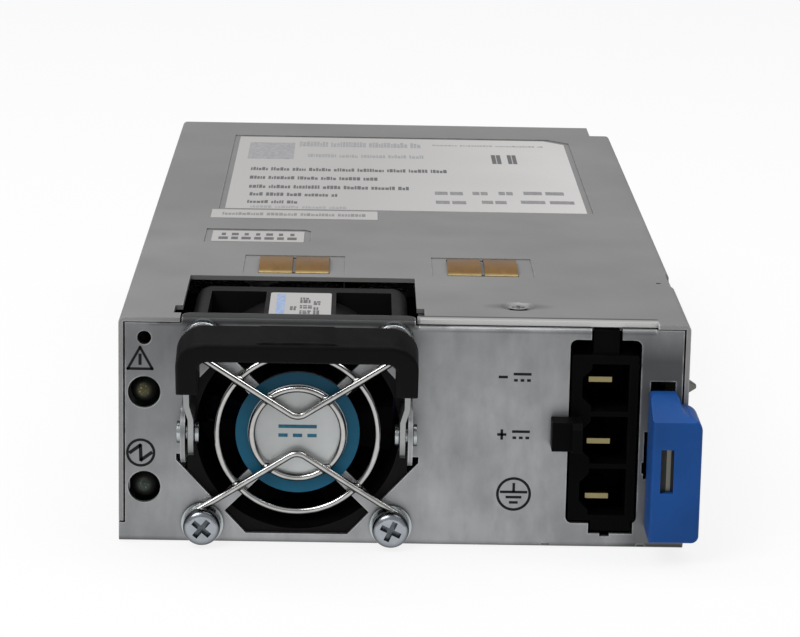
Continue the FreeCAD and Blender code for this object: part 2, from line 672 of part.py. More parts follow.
def front_panel():
    low = box(-SIDE, SIDE, FRONT, PANEL_BACK, 0, SEAM_HEIGHT)
    low = fuse(low, box(-SIDE, SIDE, FRONT, behind(FOOT_TURN), 0, TRAY_SHEET))
    low = along(X_AXIS, low, BEND_RADIUS, lambda c: abs(c.y - FRONT) < 0.01 and abs(c.z) < 0.01)
    face = box(-PANEL_HALF, PANEL_HALF, FRONT, PANEL_BACK, SEAM_HEIGHT, TAB_TOP)
    left, right = BAY_LEFT + SEAM_GAP, BAY_RIGHT - SEAM_GAP
    flange_left, flange_right = BAY_RIGHT + SEAM_GAP, RIGHT_TAB_X - SEAM_GAP
    for x0, x1 in ((left, right), (flange_left, flange_right)):
        face = face.cut(box(x0, x1, FRONT - 1, PANEL_BACK + 1, TAB_TOP - 2, HEIGHT))
    fan_top = folded_edge(left, right, HEIGHT, FAN_TOP_FLANGE_DEPTH, TAB_CORNER)
    flange = folded_edge(flange_left, flange_right, TAB_TOP, PANEL_FLANGE_DEPTH, 0)
    return fuse(low, face, fan_top, flange)


def panel_holes():
    holes = [fan_opening(), inlet_cutout(), latch_window()] + foot_notches()
    y0, y1 = FRONT - 1, PANEL_BACK + 1
    for x, z in corners(FAN_SCREW_OFFSET):
        holes.append(rod_y(GUARD_SCREW_RADIUS + SLIP, FAN_X + x, y0, y1, FAN_Z + z))
    for height in (FAULT_LAMP_HEIGHT, POWER_LAMP_HEIGHT):
        holes.append(rod_y(LAMP_HOLE_RADIUS, LAMP_X, y0, y1, height))
    holes.append(rod_y(RESET_HOLE_RADIUS, LAMP_X, y0, y1, RESET_HOLE_HEIGHT))
    return holes


def rear_wall():
    left, right = -PANEL_HALF, SIDE - REAR_NOTCH_WIDTH - SEAM_GAP
    wall = box(left, right, REAR - TRAY_SHEET, REAR, 0, TAB_TOP)
    slots = [box(-CARD_HALF - REAR_SLOT_CLEAR, CARD_HALF + REAR_SLOT_CLEAR,
                 REAR - TRAY_SHEET - 1, REAR + 1,
                 BOARD_BOTTOM - REAR_SLOT_CLEAR, BOARD_TOP + REAR_SLOT_CLEAR)]
    count = int((right - left - 2 * VENT_PITCH) // VENT_PITCH) + 1
    first = (left + right) / 2 - (count - 1) * VENT_PITCH / 2
    for i in range(count):
        slots.append(rounded_bar_y(VENT_WIDTH / 2, (VENT_TOP - VENT_BOTTOM) / 2,
                                   VENT_WIDTH / 2 - 0.05, first + i * VENT_PITCH,
                                   (VENT_TOP + VENT_BOTTOM) / 2, REAR - TRAY_SHEET - 1, REAR + 1))
    return wall.cut(slots)


def side_lip():
    """Right side: an outer step that carries on the cover's line, then a lip inside the cover."""
    step = SEAM_HEIGHT - TRAY_SHEET - SLIP
    outline = [(SIDE - TRAY_SHEET, 0), (SIDE, 0), (SIDE, SEAM_HEIGHT), (LIP_OUTER, SEAM_HEIGHT),
               (LIP_OUTER, TRAY_LIP_HEIGHT), (LIP_INNER, TRAY_LIP_HEIGHT), (LIP_INNER, step),
               (SIDE - TRAY_SHEET, step)]
    return prism_y(outline, behind(BEND_RADIUS), REAR)


def screw_boss():
    x, y = COVER_SCREW_X, behind(COVER_SCREW_BEHIND)
    top = TAB_TOP - TRAY_SHEET
    boss = rod_z(SCREW_BOSS_RADIUS, x, y, top - SCREW_BOSS_HEIGHT, TAB_TOP)
    return boss, rod_z(COVER_SCREW_RADIUS, x, y, top - SCREW_BOSS_HEIGHT - 1, HEIGHT)


def tray():
    floor = box(-SIDE, SIDE, behind(FOOT_TURN - 1), REAR, 0, TRAY_SHEET)
    right_lip = side_lip()
    left_lip = right_lip.mirror(v(0, 0, 0), X_AXIS)
    boss, boss_hole = screw_boss()
    body = fuse(floor, front_panel(), rear_wall(), right_lip, left_lip, boss)
    body = body.cut(panel_holes() + [boss_hole])
    return fuse(body, panel_ear(-1), panel_ear(1))


# Top cover: the roof and both side walls, folded from one sheet

def rating_label_place():
    """Left, right, front and rear edge of the big label."""
    return (across(RATING_LABEL_LEFT), SIDE - RATING_LABEL_FROM_RIGHT,
            behind(RATING_LABEL_START), REAR - RATING_LABEL_FROM_REAR)


def near_label_place(place):
    """The same for a label near the front, given by its distances from the left and the front."""
    left, right, front, rear = place
    return across(left), across(right), behind(front), behind(rear)


def label_outline(place, margin, chamfer):
    x0, x1 = place[0] - margin, place[1] + margin
    y0, y1 = place[2] - margin, place[3] + margin
    return [(x0, y0), (x1, y0), (x1, y1 - chamfer), (x1 - chamfer, y1), (x0, y1)]


def spring_place(centre):
    half = SPRING_FINGER_WIDTH + SPRING_FINGER_GAP / 2
    return across(centre) - half, across(centre) + half, behind(SPRING_START)


def cover_openings():
    cuts = [box(BAY_LEFT, BAY_RIGHT, FRONT - 1, behind(BAY_DEPTH), UNDER_COVER - 1, HEIGHT + 1)]
    cuts.append(box(BAY_LEFT - BAY_RELIEF_WIDTH, BAY_RIGHT + BAY_RELIEF_WIDTH,
                    behind(BAY_RELIEF_START), behind(BAY_RELIEF_START + BAY_RELIEF_DEPTH),
                    UNDER_COVER - 1, HEIGHT + 1))
    setback = box(BAY_RIGHT - 1, RIGHT_TAB_X, FRONT - 1, behind(COVER_SETBACK),
                  UNDER_COVER - 1, HEIGHT + 1)
    cuts.append(setback)
    cuts.append(box(SIDE - REAR_NOTCH_WIDTH, SIDE + 1, REAR - REAR_NOTCH_DEPTH, REAR + 1,
                    SEAM_HEIGHT, HEIGHT + 1))
    cuts.append(box(COVER_INNER - 1, SIDE + 1, behind(TOOTH_BEHIND - TOOTH_FACE - 1.5),
                    behind(TOOTH_BEHIND + TOOTH_RAMP + 1.5),
                    TOOTH_HEIGHT - TOOTH_HALF_HEIGHT - TOOTH_WINDOW_CLEAR,
                    TOOTH_HEIGHT + TOOTH_HALF_HEIGHT + TOOTH_WINDOW_CLEAR))
    cuts.append(box(COVER_INNER, SIDE + 1, behind(EDGE_NOTCH_START),
                    behind(EDGE_NOTCH_START + EDGE_NOTCH_LENGTH), HEIGHT - EDGE_NOTCH_DROP, HEIGHT + 1))
    cuts.append(rod_z(PILOT_HOLE_RADIUS, SIDE - PILOT_HOLE_FROM_RIGHT, behind(PILOT_HOLE_BEHIND),
                      UNDER_COVER - 1, HEIGHT + 1))
    for centre in SPRING_CENTRES:
        x0, x1, y0 = spring_place(centre)
        for y in (y0, y0 + SPRING_LENGTH - SPRING_SLOT):
            cuts.append(box(x0 - SPRING_FIT, x1 + SPRING_FIT, y - SPRING_FIT,
                            y + SPRING_SLOT + SPRING_FIT, UNDER_COVER - 1, HEIGHT + 1))
    return cuts


def cover_recesses():
    """Shallow coined beds for the labels and springs."""
    beds = [prism_z(label_outline(rating_label_place(), RATING_RECESS_MARGIN, RATING_LABEL_CHAMFER),
                    RECESS_FLOOR, HEIGHT + 1)]
    small = label_outline(near_label_place(SMALL_LABEL), SMALL_RECESS_MARGIN, SMALL_RECESS_MARGIN)
    beds.append(prism_z(small, RECESS_FLOOR, HEIGHT + 1))
    for centre in SPRING_CENTRES:
        x0, x1, y0 = spring_place(centre)
        beds.append(box(x0 - SPRING_RECESS_SIDE, x1 + SPRING_RECESS_SIDE, y0 - SPRING_SLOT,
                        y0 + SPRING_LENGTH + SPRING_SLOT, HEIGHT - SPRING_RECESS_DEPTH, HEIGHT + 1))
    return beds


def top_cover():
    outer = along(Y_AXIS, box(-SIDE, SIDE, FRONT, REAR, SEAM_HEIGHT + SEAM_GAP, HEIGHT),
                  BEND_RADIUS, lambda c: c.z > HEIGHT - 0.1)
    inner = box(-COVER_INNER, COVER_INNER, FRONT - 1, REAR + 1, 0, UNDER_COVER)
    cover = outer.cut(inner).cut(cover_openings() + cover_recesses())
    x, y = COVER_SCREW_X, behind(COVER_SCREW_BEHIND)
    dimple = Part.makeCone(COVER_SCREW_RADIUS + DIMPLE_FLOOR_MARGIN, DIMPLE_RADIUS, DIMPLE_DEPTH,
                           v(x, y, HEIGHT - DIMPLE_DEPTH))
    return cover.cut([dimple, rod_z(COVER_SCREW_RADIUS + SLIP, x, y, 0, HEIGHT)])


# Fan

def fan_pocket(angle, side):
    """Hollow between flanges, web and corner post, on one side of the frame."""
    half = FAN_SIZE / 2
    x0, x1 = sorted((side * FAN_WEB_HALF, side * (half - FAN_POST)))
    pocket = box(x0, x1, FAN_FRONT + FAN_FLANGE, FAN_REAR - FAN_FLANGE, 0, half + 1)
    pocket = pocket.cut(rod_y(FAN_BARREL_RADIUS, 0, FAN_FRONT, FAN_REAR, 0))
    pocket.rotate(v(0, 0, 0), Y_AXIS, angle)
    pocket.translate(v(FAN_X, 0, FAN_Z))
    return pocket


def fan_housing():
    half = FAN_SIZE / 2
    frame = rounded_bar_y(half, half, FAN_CORNER, FAN_X, FAN_Z, FAN_FRONT, FAN_REAR)
    cuts = [rod_y(FAN_BORE_RADIUS, FAN_X, FAN_FRONT - 1, FAN_REAR + 1, FAN_Z)]
    for angle in (0, 90, 180, 270):
        cuts += [fan_pocket(angle, side) for side in (-1, 1)]
    for x, z in corners(FAN_SCREW_OFFSET):
        cuts.append(rod_y(GUARD_SCREW_RADIUS + RUNNING_FIT, FAN_X + x, FAN_FRONT - 1,
                          FAN_FRONT + GUARD_SCREW_REACH + 2, FAN_Z + z))
    frame = frame.cut(cuts)
    base = rod_y(HUB_RADIUS, FAN_X, FAN_REAR - HUB_BASE, FAN_REAR, FAN_Z)
    tube = rod_y(BEARING_TUBE_OUTER, FAN_X, FAN_FRONT + BEARING_START, FAN_REAR, FAN_Z)
    struts = []
    for angle in (30, 120, 210, 300):
        strut = box(HUB_RADIUS - 1, FAN_BORE_RADIUS + 0.3, FAN_REAR - HUB_BASE,
                    FAN_REAR - HUB_BASE + STRUT_THICKNESS, -STRUT_WIDTH / 2, STRUT_WIDTH / 2)
        strut.rotate(v(0, 0, 0), Y_AXIS, angle)
        strut.translate(v(FAN_X, 0, FAN_Z))
        struts.append(strut)
    frame = fuse(frame, base, tube, *struts)
    return frame.cut(rod_y(BEARING_OUTER, FAN_X, FAN_FRONT, FAN_REAR - 1, FAN_Z))


def blade_section(radius, chord, pitch_deg):
    """Thin arched strip across the blade, at one radius."""
    rise = chord * 0.08
    t = BLADE_THICKNESS / 2
    points = [(-chord / 2, t * 0.3), (0, rise + t), (chord / 2, t * 0.3),
              (chord / 2, -t * 0.3), (0, rise - t), (-chord / 2, -t * 0.3)]
    a = math.radians(pitch_deg)
    ring = []
    for s, n in points:
        ring.append(v(radius, s * math.sin(a) - n * math.cos(a), s * math.cos(a) + n * math.sin(a)))
    return Part.makePolygon(ring + ring[:1])


def fan_rotor():
    front, rear = HUB_FRONT, HUB_REAR
    hub = rod_y(HUB_RADIUS, 0, front, rear, 0)
    hub = hub.makeFillet(HUB_EDGE_RADIUS, [e for e in hub.Edges if abs(e.CenterOfMass.y - front) < 0.01])
    tip = FAN_BORE_RADIUS - BLADE_TIP_GAP
    middle_pitch = (BLADE_ROOT_PITCH_DEG + BLADE_TIP_PITCH_DEG) / 2
    sections = [blade_section(HUB_RADIUS - 0.6, BLADE_ROOT_CHORD, BLADE_ROOT_PITCH_DEG),
                blade_section((HUB_RADIUS + tip) / 2, BLADE_TIP_CHORD, middle_pitch),
                blade_section(tip - 0.5, BLADE_TIP_CHORD, BLADE_TIP_PITCH_DEG)]
    blade = Part.makeLoft(sections, True, True)
    blade.translate(v(0, (front + rear) / 2, 0))
    blades = []
    for i in range(BLADE_COUNT):
        one = blade.copy()
        one.rotate(v(0, 0, 0), Y_AXIS, i * 360.0 / BLADE_COUNT)
        blades.append(one)
    rotor = fuse(hub, *blades).common(rod_y(tip, 0, front, rear, 0))
    hollow = rod_y(HUB_RADIUS - HUB_WALL, 0, front + HUB_WALL, rear + 1, 0)
    boss = rod_y(SHAFT_RADIUS + 1, 0, front + HUB_WALL - 0.2, front + HUB_WALL + 2.0, 0)
    rotor = fuse(rotor.cut(hollow), boss)
    rotor = rotor.cut(rod_y(SHAFT_RADIUS, 0, front + 0.8, rear, 0))
    rotor.translate(v(FAN_X, 0, FAN_Z))
    return rotor


def fan_shaft():
    return rod_y(SHAFT_RADIUS, FAN_X, HUB_FRONT + 0.8, FAN_REAR - 1.4, FAN_Z)


def fan_bearing():
    tube = rod_y(BEARING_OUTER, FAN_X, FAN_FRONT + BEARING_START, FAN_REAR - 1, FAN_Z)
    return tube.cut(rod_y(SHAFT_RADIUS + RUNNING_FIT, FAN_X, FAN_FRONT, FAN_REAR + 1, FAN_Z))


def fan_stator():
    """Four-pole laminated core on the bearing tube, with a coil on each pole."""
    inner = BEARING_TUBE_OUTER
    y0, y1 = FAN_FRONT + STATOR_START, FAN_REAR - STATOR_REAR_GAP
    outer = HUB_RADIUS - HUB_WALL - STATOR_AIR_GAP
    ring = rod_y(outer, 0, y0, y1, 0).cut(rod_y(outer - STATOR_SHOE, 0, y0 - 1, y1 + 1, 0))
    pole_half, coil_half = POLE_HALF_WIDTH, POLE_HALF_WIDTH + COIL_THICKNESS
    gaps = []
    poles = [rod_y(inner + 1, 0, y0, y1, 0)]
    coils = []
    for i in range(4):
        gap = box(outer - 2, outer + 1, y0 - 1, y1 + 1, -0.8, 0.8)
        gap.rotate(v(0, 0, 0), Y_AXIS, 45 + 90 * i)
        gaps.append(gap)
        pole = box(0, outer - STATOR_SHOE / 2, y0, y1, -pole_half, pole_half)
        pole.rotate(v(0, 0, 0), Y_AXIS, 90 * i)
        poles.append(pole)
        coil = box(inner + 1.4, outer - STATOR_SHOE - 0.5, y0 - COIL_OVERHANG, y1 + COIL_OVERHANG,
                   -coil_half, coil_half)
        coil = coil.cut(box(inner, outer, y0, y1, -pole_half, pole_half))
        coil.rotate(v(0, 0, 0), Y_AXIS, 90 * i)
        coil.translate(v(FAN_X, 0, FAN_Z))
        coils.append(coil)
    core = fuse(ring.cut(gaps), *poles).cut(rod_y(inner, 0, y0 - 1, y1 + 1, 0))
    core.translate(v(FAN_X, 0, FAN_Z))
    return core, coils


def fan_label():
    top = FAN_Z + FAN_SIZE / 2
    middle = (FAN_FRONT + FAN_REAR) / 2
    label = box(FAN_X - FAN_LABEL_WIDTH / 2, FAN_X + FAN_LABEL_WIDTH / 2,
                middle - FAN_LABEL_DEPTH / 2, middle + FAN_LABEL_DEPTH / 2, top, top + LABEL_THICKNESS)
    return along(Z_AXIS, label, FAN_LABEL_CORNER)


# Finger guard, washers and screws

def guard_vee(up):
    """One wire: an eyelet round each screw of a pair, and a rounded bend near the fan's axis."""
    screw = v(FAN_SCREW_OFFSET, 0, FAN_SCREW_OFFSET)
    tip = v(0, 0, VEE_TIP_HALF_HEIGHT)
    to_screw = screw.sub(tip)
    slope = math.atan2(to_screw.z, to_screw.x) - math.asin(EYELET_RADIUS / to_screw.Length)
    reach = math.sqrt(to_screw.Length ** 2 - EYELET_RADIUS ** 2)
    run = VEE_BEND_RADIUS * math.tan(slope)

    def on_leg(distance):
        return v(distance * math.cos(slope), 0, tip.z + distance * math.sin(slope))

    def on_eyelet(turn_deg):
        angle = slope - math.pi / 2 + math.radians(turn_deg)
        return v(screw.x + EYELET_RADIUS * math.cos(angle), 0, screw.z + EYELET_RADIUS * math.sin(angle))

    def flip(p):
        return v(-p.x, 0, p.z)

    start, touch = on_leg(run), on_leg(reach)
    bottom = v(0, 0, start.z - VEE_BEND_RADIUS * (1 - math.cos(slope)))
    middle, end = on_eyelet(EYELET_TURN_DEG / 2), on_eyelet(EYELET_TURN_DEG)
    edges = [Part.Arc(flip(end), flip(middle), flip(touch)).toShape(),
             Part.makeLine(flip(touch), flip(start)),
             Part.Arc(flip(start), bottom, start).toShape(),
             Part.makeLine(start, touch),
             Part.Arc(touch, middle, end).toShape()]
    path = Part.Wire(edges)
    section = Part.Wire(Part.makeCircle(WIRE_RADIUS, flip(end), edges[0].tangentAt(edges[0].FirstParameter)))
    wire = path.makePipeShell([section], True, False)
    if not up:
        wire.rotate(v(0, 0, 0), Y_AXIS, 180)
    wire.translate(v(FAN_X, VEE_Y, FAN_Z))
    return wire


def finger_guard():
    rings = [Part.makeTorus(r, WIRE_RADIUS, v(FAN_X, RING_Y, FAN_Z), Y_AXIS)
             for r in (INNER_RING_RADIUS, OUTER_RING_RADIUS)]
    return guard_vee(True).fuse(rings + [guard_vee(False)])


def guard_washers():
    washers = []
    for x, z in corners(FAN_SCREW_OFFSET):
        disc = rod_y(WASHER_RADIUS, FAN_X + x, FRONT - WASHER_THICKNESS, FRONT, FAN_Z + z)
        hole = rod_y(GUARD_SCREW_RADIUS + SLIP, FAN_X + x, FRONT - WASHER_THICKNESS - 1, FRONT + 1,
                     FAN_Z + z)
        washers.append(disc.cut(hole))
    return washers


def cross_cuts(half_length, half_width):
    """Two crossing bars round the origin, as (x, other) half sizes of a cross recess."""
    return ((half_length, half_width), (half_width, half_length))


def guard_screws():
    top = HEAD_SEAT_Y - GUARD_SCREW_HEAD_HEIGHT
    head = rod_y(GUARD_SCREW_HEAD_RADIUS, 0, top, HEAD_SEAT_Y, 0)
    rim = [e for e in head.Edges if abs(e.CenterOfMass.y - top) < 0.01]
    head = head.makeFillet(GUARD_SCREW_HEAD_HEIGHT * 0.6, rim)
    screw = fuse(head, rod_y(GUARD_SCREW_RADIUS, 0, HEAD_SEAT_Y, FAN_FRONT + GUARD_SCREW_REACH, 0))
    screw = screw.cut([box(-a, a, top - 1, top + CROSS_DEPTH, -b, b)
                       for a, b in cross_cuts(CROSS_HALF_LENGTH, CROSS_HALF_WIDTH)])
    screws = []
    for (x, z), turn in zip(corners(FAN_SCREW_OFFSET), SCREW_TURNS_DEG):
        one = screw.copy()
        one.rotate(v(0, 0, 0), Y_AXIS, turn)
        one.translate(v(FAN_X + x, 0, FAN_Z + z))
        screws.append(one)
    return screws


# Folding handle, drawn upright over its pivot and then leaned forward

def lean(shape):
    shape.rotate(v(FAN_X, PIVOT_Y, PIVOT_HEIGHT), X_AXIS, BAIL_LEAN_DEG)
    return shape


def strip_outline():
    """The folded strip seen from the front: two legs with outward jogs, and the top that joins them."""
    top = BAIL_REACH - GRIP_COVER
    j0, j1 = BAIL_JOG_START, BAIL_JOG_START + BAIL_JOG_LENGTH
    outside = [(ARM_OUTER, -BAIL_EYE_RADIUS), (ARM_OUTER, j0), (ARM_OUTER + BAIL_JOG, j1),
               (ARM_OUTER + BAIL_JOG, top)]
    inside = [(ARM_INNER, -BAIL_EYE_RADIUS), (ARM_INNER, j0), (ARM_INNER + BAIL_JOG, j1),
              (ARM_INNER + BAIL_JOG, top - BAIL_SHEET)]

    def left(points):
        return [(-x, z) for x, z in points]

    return left(outside) + outside[::-1] + inside + left(inside)[::-1]


def bail_strip():
    loop = [(FAN_X + x, PIVOT_HEIGHT + z) for x, z in strip_outline()]
    half = BAIL_EYE_RADIUS
    blank = prism_y(loop, PIVOT_Y - half, PIVOT_Y + half)
    narrow = BAIL_STRIP_WIDTH / 2
    x0, x1 = FAN_X - WIDTH, FAN_X + WIDTH
    taper_top = BAIL_JOG_START + BAIL_JOG_LENGTH
    profile = [(-half, 0), (half, 0), (narrow, taper_top), (narrow, BAIL_REACH), (-narrow, BAIL_REACH),
               (-narrow, taper_top)]
    side = prism_x([(PIVOT_Y + y, PIVOT_HEIGHT + z) for y, z in profile], x0, x1)
    eye = rod_x(half, x0, x1, PIVOT_Y, PIVOT_HEIGHT)
    strip = blank.common(fuse(side, eye))
    strip = along(Y_AXIS, strip, 1.5, lambda c: c.z > PIVOT_HEIGHT + BAIL_REACH - GRIP_COVER - 0.01)
    return strip.cut(rod_x(RIVET_RADIUS + RUNNING_FIT, x0, x1, PIVOT_Y, PIVOT_HEIGHT))


def bail_grip(strip):
    half = ARM_OUTER + BAIL_JOG + GRIP_COVER
    y0, y1 = PIVOT_Y - GRIP_THICKNESS / 2, PIVOT_Y + GRIP_THICKNESS / 2
    z0, z1 = PIVOT_HEIGHT + GRIP_LEG_START, PIVOT_HEIGHT + BAIL_REACH
    block = along(Y_AXIS, box(FAN_X - half, FAN_X + half, y0, y1, z0, z1), GRIP_CORNER_RADIUS,
                  lambda c: c.z > z1 - 0.1)
    gap_half = half - GRIP_LEG_WIDTH
    gap = along(Y_AXIS, box(FAN_X - gap_half, FAN_X + gap_half, y0 - 1, y1 + 1, z0 - 1, z1 - GRIP_BAR_HEIGHT),
                GRIP_INNER_RADIUS, lambda c: c.z > z1 - GRIP_BAR_HEIGHT - 0.1)
    grip = block.cut(gap)
    rims = [e for e in grip.Edges if abs(e.CenterOfMass.y - y0) < 0.01 or abs(e.CenterOfMass.y - y1) < 0.01]
    grip = grip.makeFillet(GRIP_EDGE_RADIUS, rims)
    w = CROWN_HALF_WIDTH
    crown = prism_y([(FAN_X - w - 1.5, z1 - 0.1), (FAN_X + w + 1.5, z1 - 0.1), (FAN_X + w, z1 + CROWN_HEIGHT),
                     (FAN_X - w, z1 + CROWN_HEIGHT)], y0 + GRIP_EDGE_RADIUS, y1 - GRIP_EDGE_RADIUS)
    return fuse(grip, crown).cut(strip)


def bail_rivets():
    rivets = []
    for side in (-1, 1):
        inner, outer = side * ARM_INNER, side * EAR_OUTER
        lo, hi = sorted((inner, outer))
        shank = rod_x(RIVET_RADIUS, FAN_X + lo - 0.1, FAN_X + hi + 0.1, PIVOT_Y, PIVOT_HEIGHT)
        heads = [rod_x(RIVET_HEAD_RADIUS, FAN_X + lo - 0.1 - RIVET_HEAD_HEIGHT, FAN_X + lo - 0.1,
                       PIVOT_Y, PIVOT_HEIGHT),
                 rod_x(RIVET_HEAD_RADIUS, FAN_X + hi + 0.1, FAN_X + hi + 0.1 + RIVET_HEAD_HEIGHT,
                       PIVOT_Y, PIVOT_HEIGHT)]
        rivets.append(fuse(shank, *heads))
    return rivets


# Side latch

def latch_strip():
    """Sprung strip on edge, curled round its pin at the rear, with a tooth and a front tongue."""
    x0, x1 = LATCH_X - LATCH_SHEET / 2, LATCH_X + LATCH_SHEET / 2
    tongue_end = PAD_FRONT + PAD_SLOT_DEPTH
    y_pin, y_blade = LATCH_PIVOT_Y, behind(LATCH_BLADE_START)
    y_ramp = behind(TOOTH_BEHIND + TOOTH_RAMP + 2)
    outline = [(tongue_end, LATCH_TONGUE_BOTTOM), (y_blade - 2, LATCH_TONGUE_BOTTOM),
               (y_blade, LATCH_BLADE_BOTTOM), (y_pin, LATCH_BLADE_BOTTOM),
               (y_pin, LATCH_TONGUE_TOP), (y_ramp + LATCH_BLADE_SLOPE, LATCH_TONGUE_TOP),
               (y_ramp, LATCH_BLADE_TOP), (y_blade, LATCH_BLADE_TOP), (y_blade, LATCH_TONGUE_TOP),
               (tongue_end, LATCH_TONGUE_TOP)]
    strip = prism_x(outline, x0, x1)
    curl = rod_z(LATCH_CURL_OUTER, LATCH_X, y_pin, LATCH_BLADE_BOTTOM, LATCH_TONGUE_TOP)
    strip = fuse(strip, curl, latch_tooth())
    return strip.cut(rod_z(LATCH_CURL_INNER, LATCH_X, y_pin, 0, HEIGHT))


def latch_tooth():
    """Hooked tooth: square to the pull at its front, a long ramp behind, tapered to its tip."""
    root, tip = LATCH_X, SIDE + TOOTH_REACH
    low, high = TOOTH_HEIGHT - TOOTH_HALF_HEIGHT, TOOTH_HEIGHT + TOOTH_HALF_HEIGHT
    plan = prism_z([(root, behind(TOOTH_BEHIND - TOOTH_FACE)), (tip, behind(TOOTH_BEHIND)),
                    (tip, behind(TOOTH_BEHIND + TOOTH_TIP_LENGTH)),
                    (root, behind(TOOTH_BEHIND + TOOTH_RAMP))], low, high)
    full = SIDE - 0.6
    face = prism_y([(root, low), (full, low), (tip, TOOTH_HEIGHT - TOOTH_TIP_HALF),
                    (tip, TOOTH_HEIGHT + TOOTH_TIP_HALF), (full, high), (root, high)],
                   behind(0), behind(TOOTH_BEHIND + TOOTH_RAMP + 1))
    return plan.common(face)


def latch_pin():
    pin = rod_z(LATCH_PIN_RADIUS, LATCH_X, LATCH_PIVOT_Y, TRAY_SHEET, LATCH_TONGUE_TOP + 1.5)
    foot = rod_z(LATCH_PIN_RADIUS + LATCH_PIN_FOOT, LATCH_X, LATCH_PIVOT_Y, TRAY_SHEET,
                 LATCH_BLADE_BOTTOM - 0.3)
    return fuse(pin, foot)


def latch_pad(strip):
    """Moulded thumb pad: narrow neck at the top, a rounded shoulder, a sloped upper face and a slot."""
    neck_right = PAD_LEFT + PAD_NECK_WIDTH
    body = box(PAD_LEFT, PAD_RIGHT, PAD_FRONT, PAD_BACK, PAD_BOTTOM, PAD_SHOULDER)
    neck = box(PAD_LEFT, neck_right, PAD_FRONT, PAD_BACK, PAD_BOTTOM, PAD_TOP)
    block = fuse(body, neck)

    def at(x, z):
        return lambda c: abs(c.x - x) < 0.01 and abs(c.z - z) < 0.01

    block = along(Y_AXIS, block, PAD_SHOULDER_RADIUS, at(PAD_RIGHT, PAD_SHOULDER))
    block = along(Y_AXIS, block, PAD_NECK_RADIUS, at(neck_right, PAD_SHOULDER))
    block = along(Y_AXIS, block, PAD_FOOT_RADIUS, at(PAD_RIGHT, PAD_BOTTOM))
    for x in (PAD_LEFT, neck_right):
        block = along(Y_AXIS, block, PAD_TOP_RADIUS, at(x, PAD_TOP))
    rise = PAD_SLOPE_DROP / PAD_SLOPE_RUN
    slope = prism_x([(PAD_FRONT - 1, PAD_SLOPE_START - rise), (PAD_FRONT + PAD_SLOPE_RUN, PAD_TOP),
                     (PAD_FRONT + PAD_SLOPE_RUN, PAD_TOP + 1), (PAD_FRONT - 1, PAD_TOP + 1)],
                    PAD_LEFT - 1, PAD_RIGHT + 1)
    pad = block.cut(slope)
    rims = [e for e in pad.Edges if abs(e.CenterOfMass.y - PAD_FRONT) < 0.01
            and e.CenterOfMass.z < PAD_SLOPE_START - 1.5]
    pad = pad.makeFillet(PAD_EDGE_RADIUS, rims)
    slot_x = LATCH_X + LATCH_SHEET / 2 + SLOT_SIDE_GAP
    slot = box(slot_x - PAD_SLOT_WIDTH, slot_x, PAD_FRONT - 1, PAD_FRONT + PAD_SLOT_DEPTH,
               LATCH_TONGUE_BOTTOM, LATCH_TONGUE_TOP)
    return pad.cut([slot, strip])


# DC inlet

def inlet_cavity(low):
    """One polarised cavity: its left side steps out between two chamfers."""
    high = low + CAVITY_HEIGHT
    left = INLET_LEFT + INLET_LEFT_WALL
    inner = left + INLET_STEP
    right = INLET_RIGHT - INLET_CLEAR - INLET_RIGHT_WALL
    step_low, step_high = low + INLET_STEP_HEIGHT, high - INLET_STEP_HEIGHT
    outline = [(inner, low), (right, low), (right, high), (inner, high), (inner, step_high),
               (left, step_high - INLET_STEP), (left, step_low + INLET_STEP), (inner, step_low)]
    return prism_y(outline, FRONT - 1, behind(INLET_CAVITY_DEPTH))


def cavity_low(row):
    """Floor of one cavity, counted from the top."""
    return CAVITY_BOTTOM + (2 - row) * (CAVITY_HEIGHT + INLET_WEB)


def blade_height(row):
    return cavity_low(row) + CAVITY_HEIGHT / 2 + BLADE_RISES[row]


def inlet_lock():
    """Block that the plug's latch hooks over, with a hook that stands out to the left."""
    middle = cavity_low(1) + CAVITY_HEIGHT / 2 + LOCK_RISE
    low, high = middle - LOCK_HEIGHT / 2, middle + LOCK_HEIGHT / 2
    y0, y1 = FRONT - LOCK_FORWARD, behind(INLET_FRONT_BEHIND) + 3
    block = prism_x([(y0, low), (y1, low), (y1, high), (y0 + LOCK_CHAMFER, high), (y0, high - LOCK_CHAMFER)],
                    INLET_LEFT + INLET_CLEAR, INLET_LEFT + LOCK_LAP)
    hook = box(INLET_LEFT - LOCK_REACH, INLET_LEFT + 1, y0 + LOCK_HOOK_STEP, FRONT - 0.15, low, high)
    return [block, hook]


def dc_inlet_housing():
    y0, y1 = behind(INLET_FRONT_BEHIND), behind(INLET_DEPTH)
    body = box(INLET_LEFT + INLET_CLEAR, INLET_RIGHT - INLET_CLEAR, y0, y1, INLET_BOTTOM, INLET_RIM_TOP)
    foot = box(INLET_FOOT_LEFT + INLET_CLEAR, INLET_FOOT_RIGHT - INLET_CLEAR, y0, y1,
               INLET_FOOT_BOTTOM + INLET_CLEAR, INLET_BOTTOM + 1)
    neck = box(INLET_NECK_LEFT + INLET_CLEAR, INLET_NECK_RIGHT - INLET_CLEAR, y0 + 0.6,
               behind(TRAY_SHEET + BEND_RADIUS + 0.6), INLET_RIM_TOP - 1, TAB_TOP - 0.3)
    shell = fuse(body, foot, neck, *inlet_lock())
    cuts = [inlet_cavity(cavity_low(row)) for row in range(3)]
    for row in range(3):
        z = blade_height(row)
        cuts.append(box(BLADE_LEFT, BLADE_LEFT + BLADE_WIDTH, y0, y1 + 1,
                        z - BLADE_SHEET / 2, z + BLADE_SHEET / 2))
    return shell.cut(cuts)


def blade_leg(row):
    """Left, right, front and rear face of the leg of one blade."""
    turn = behind(INLET_DEPTH + (3 - row) * BLADE_LEG_STEP)
    return (BLADE_LEFT + BLADE_LEG_INSET, BLADE_LEFT + BLADE_WIDTH - BLADE_LEG_INSET,
            turn - BLADE_SHEET, turn)


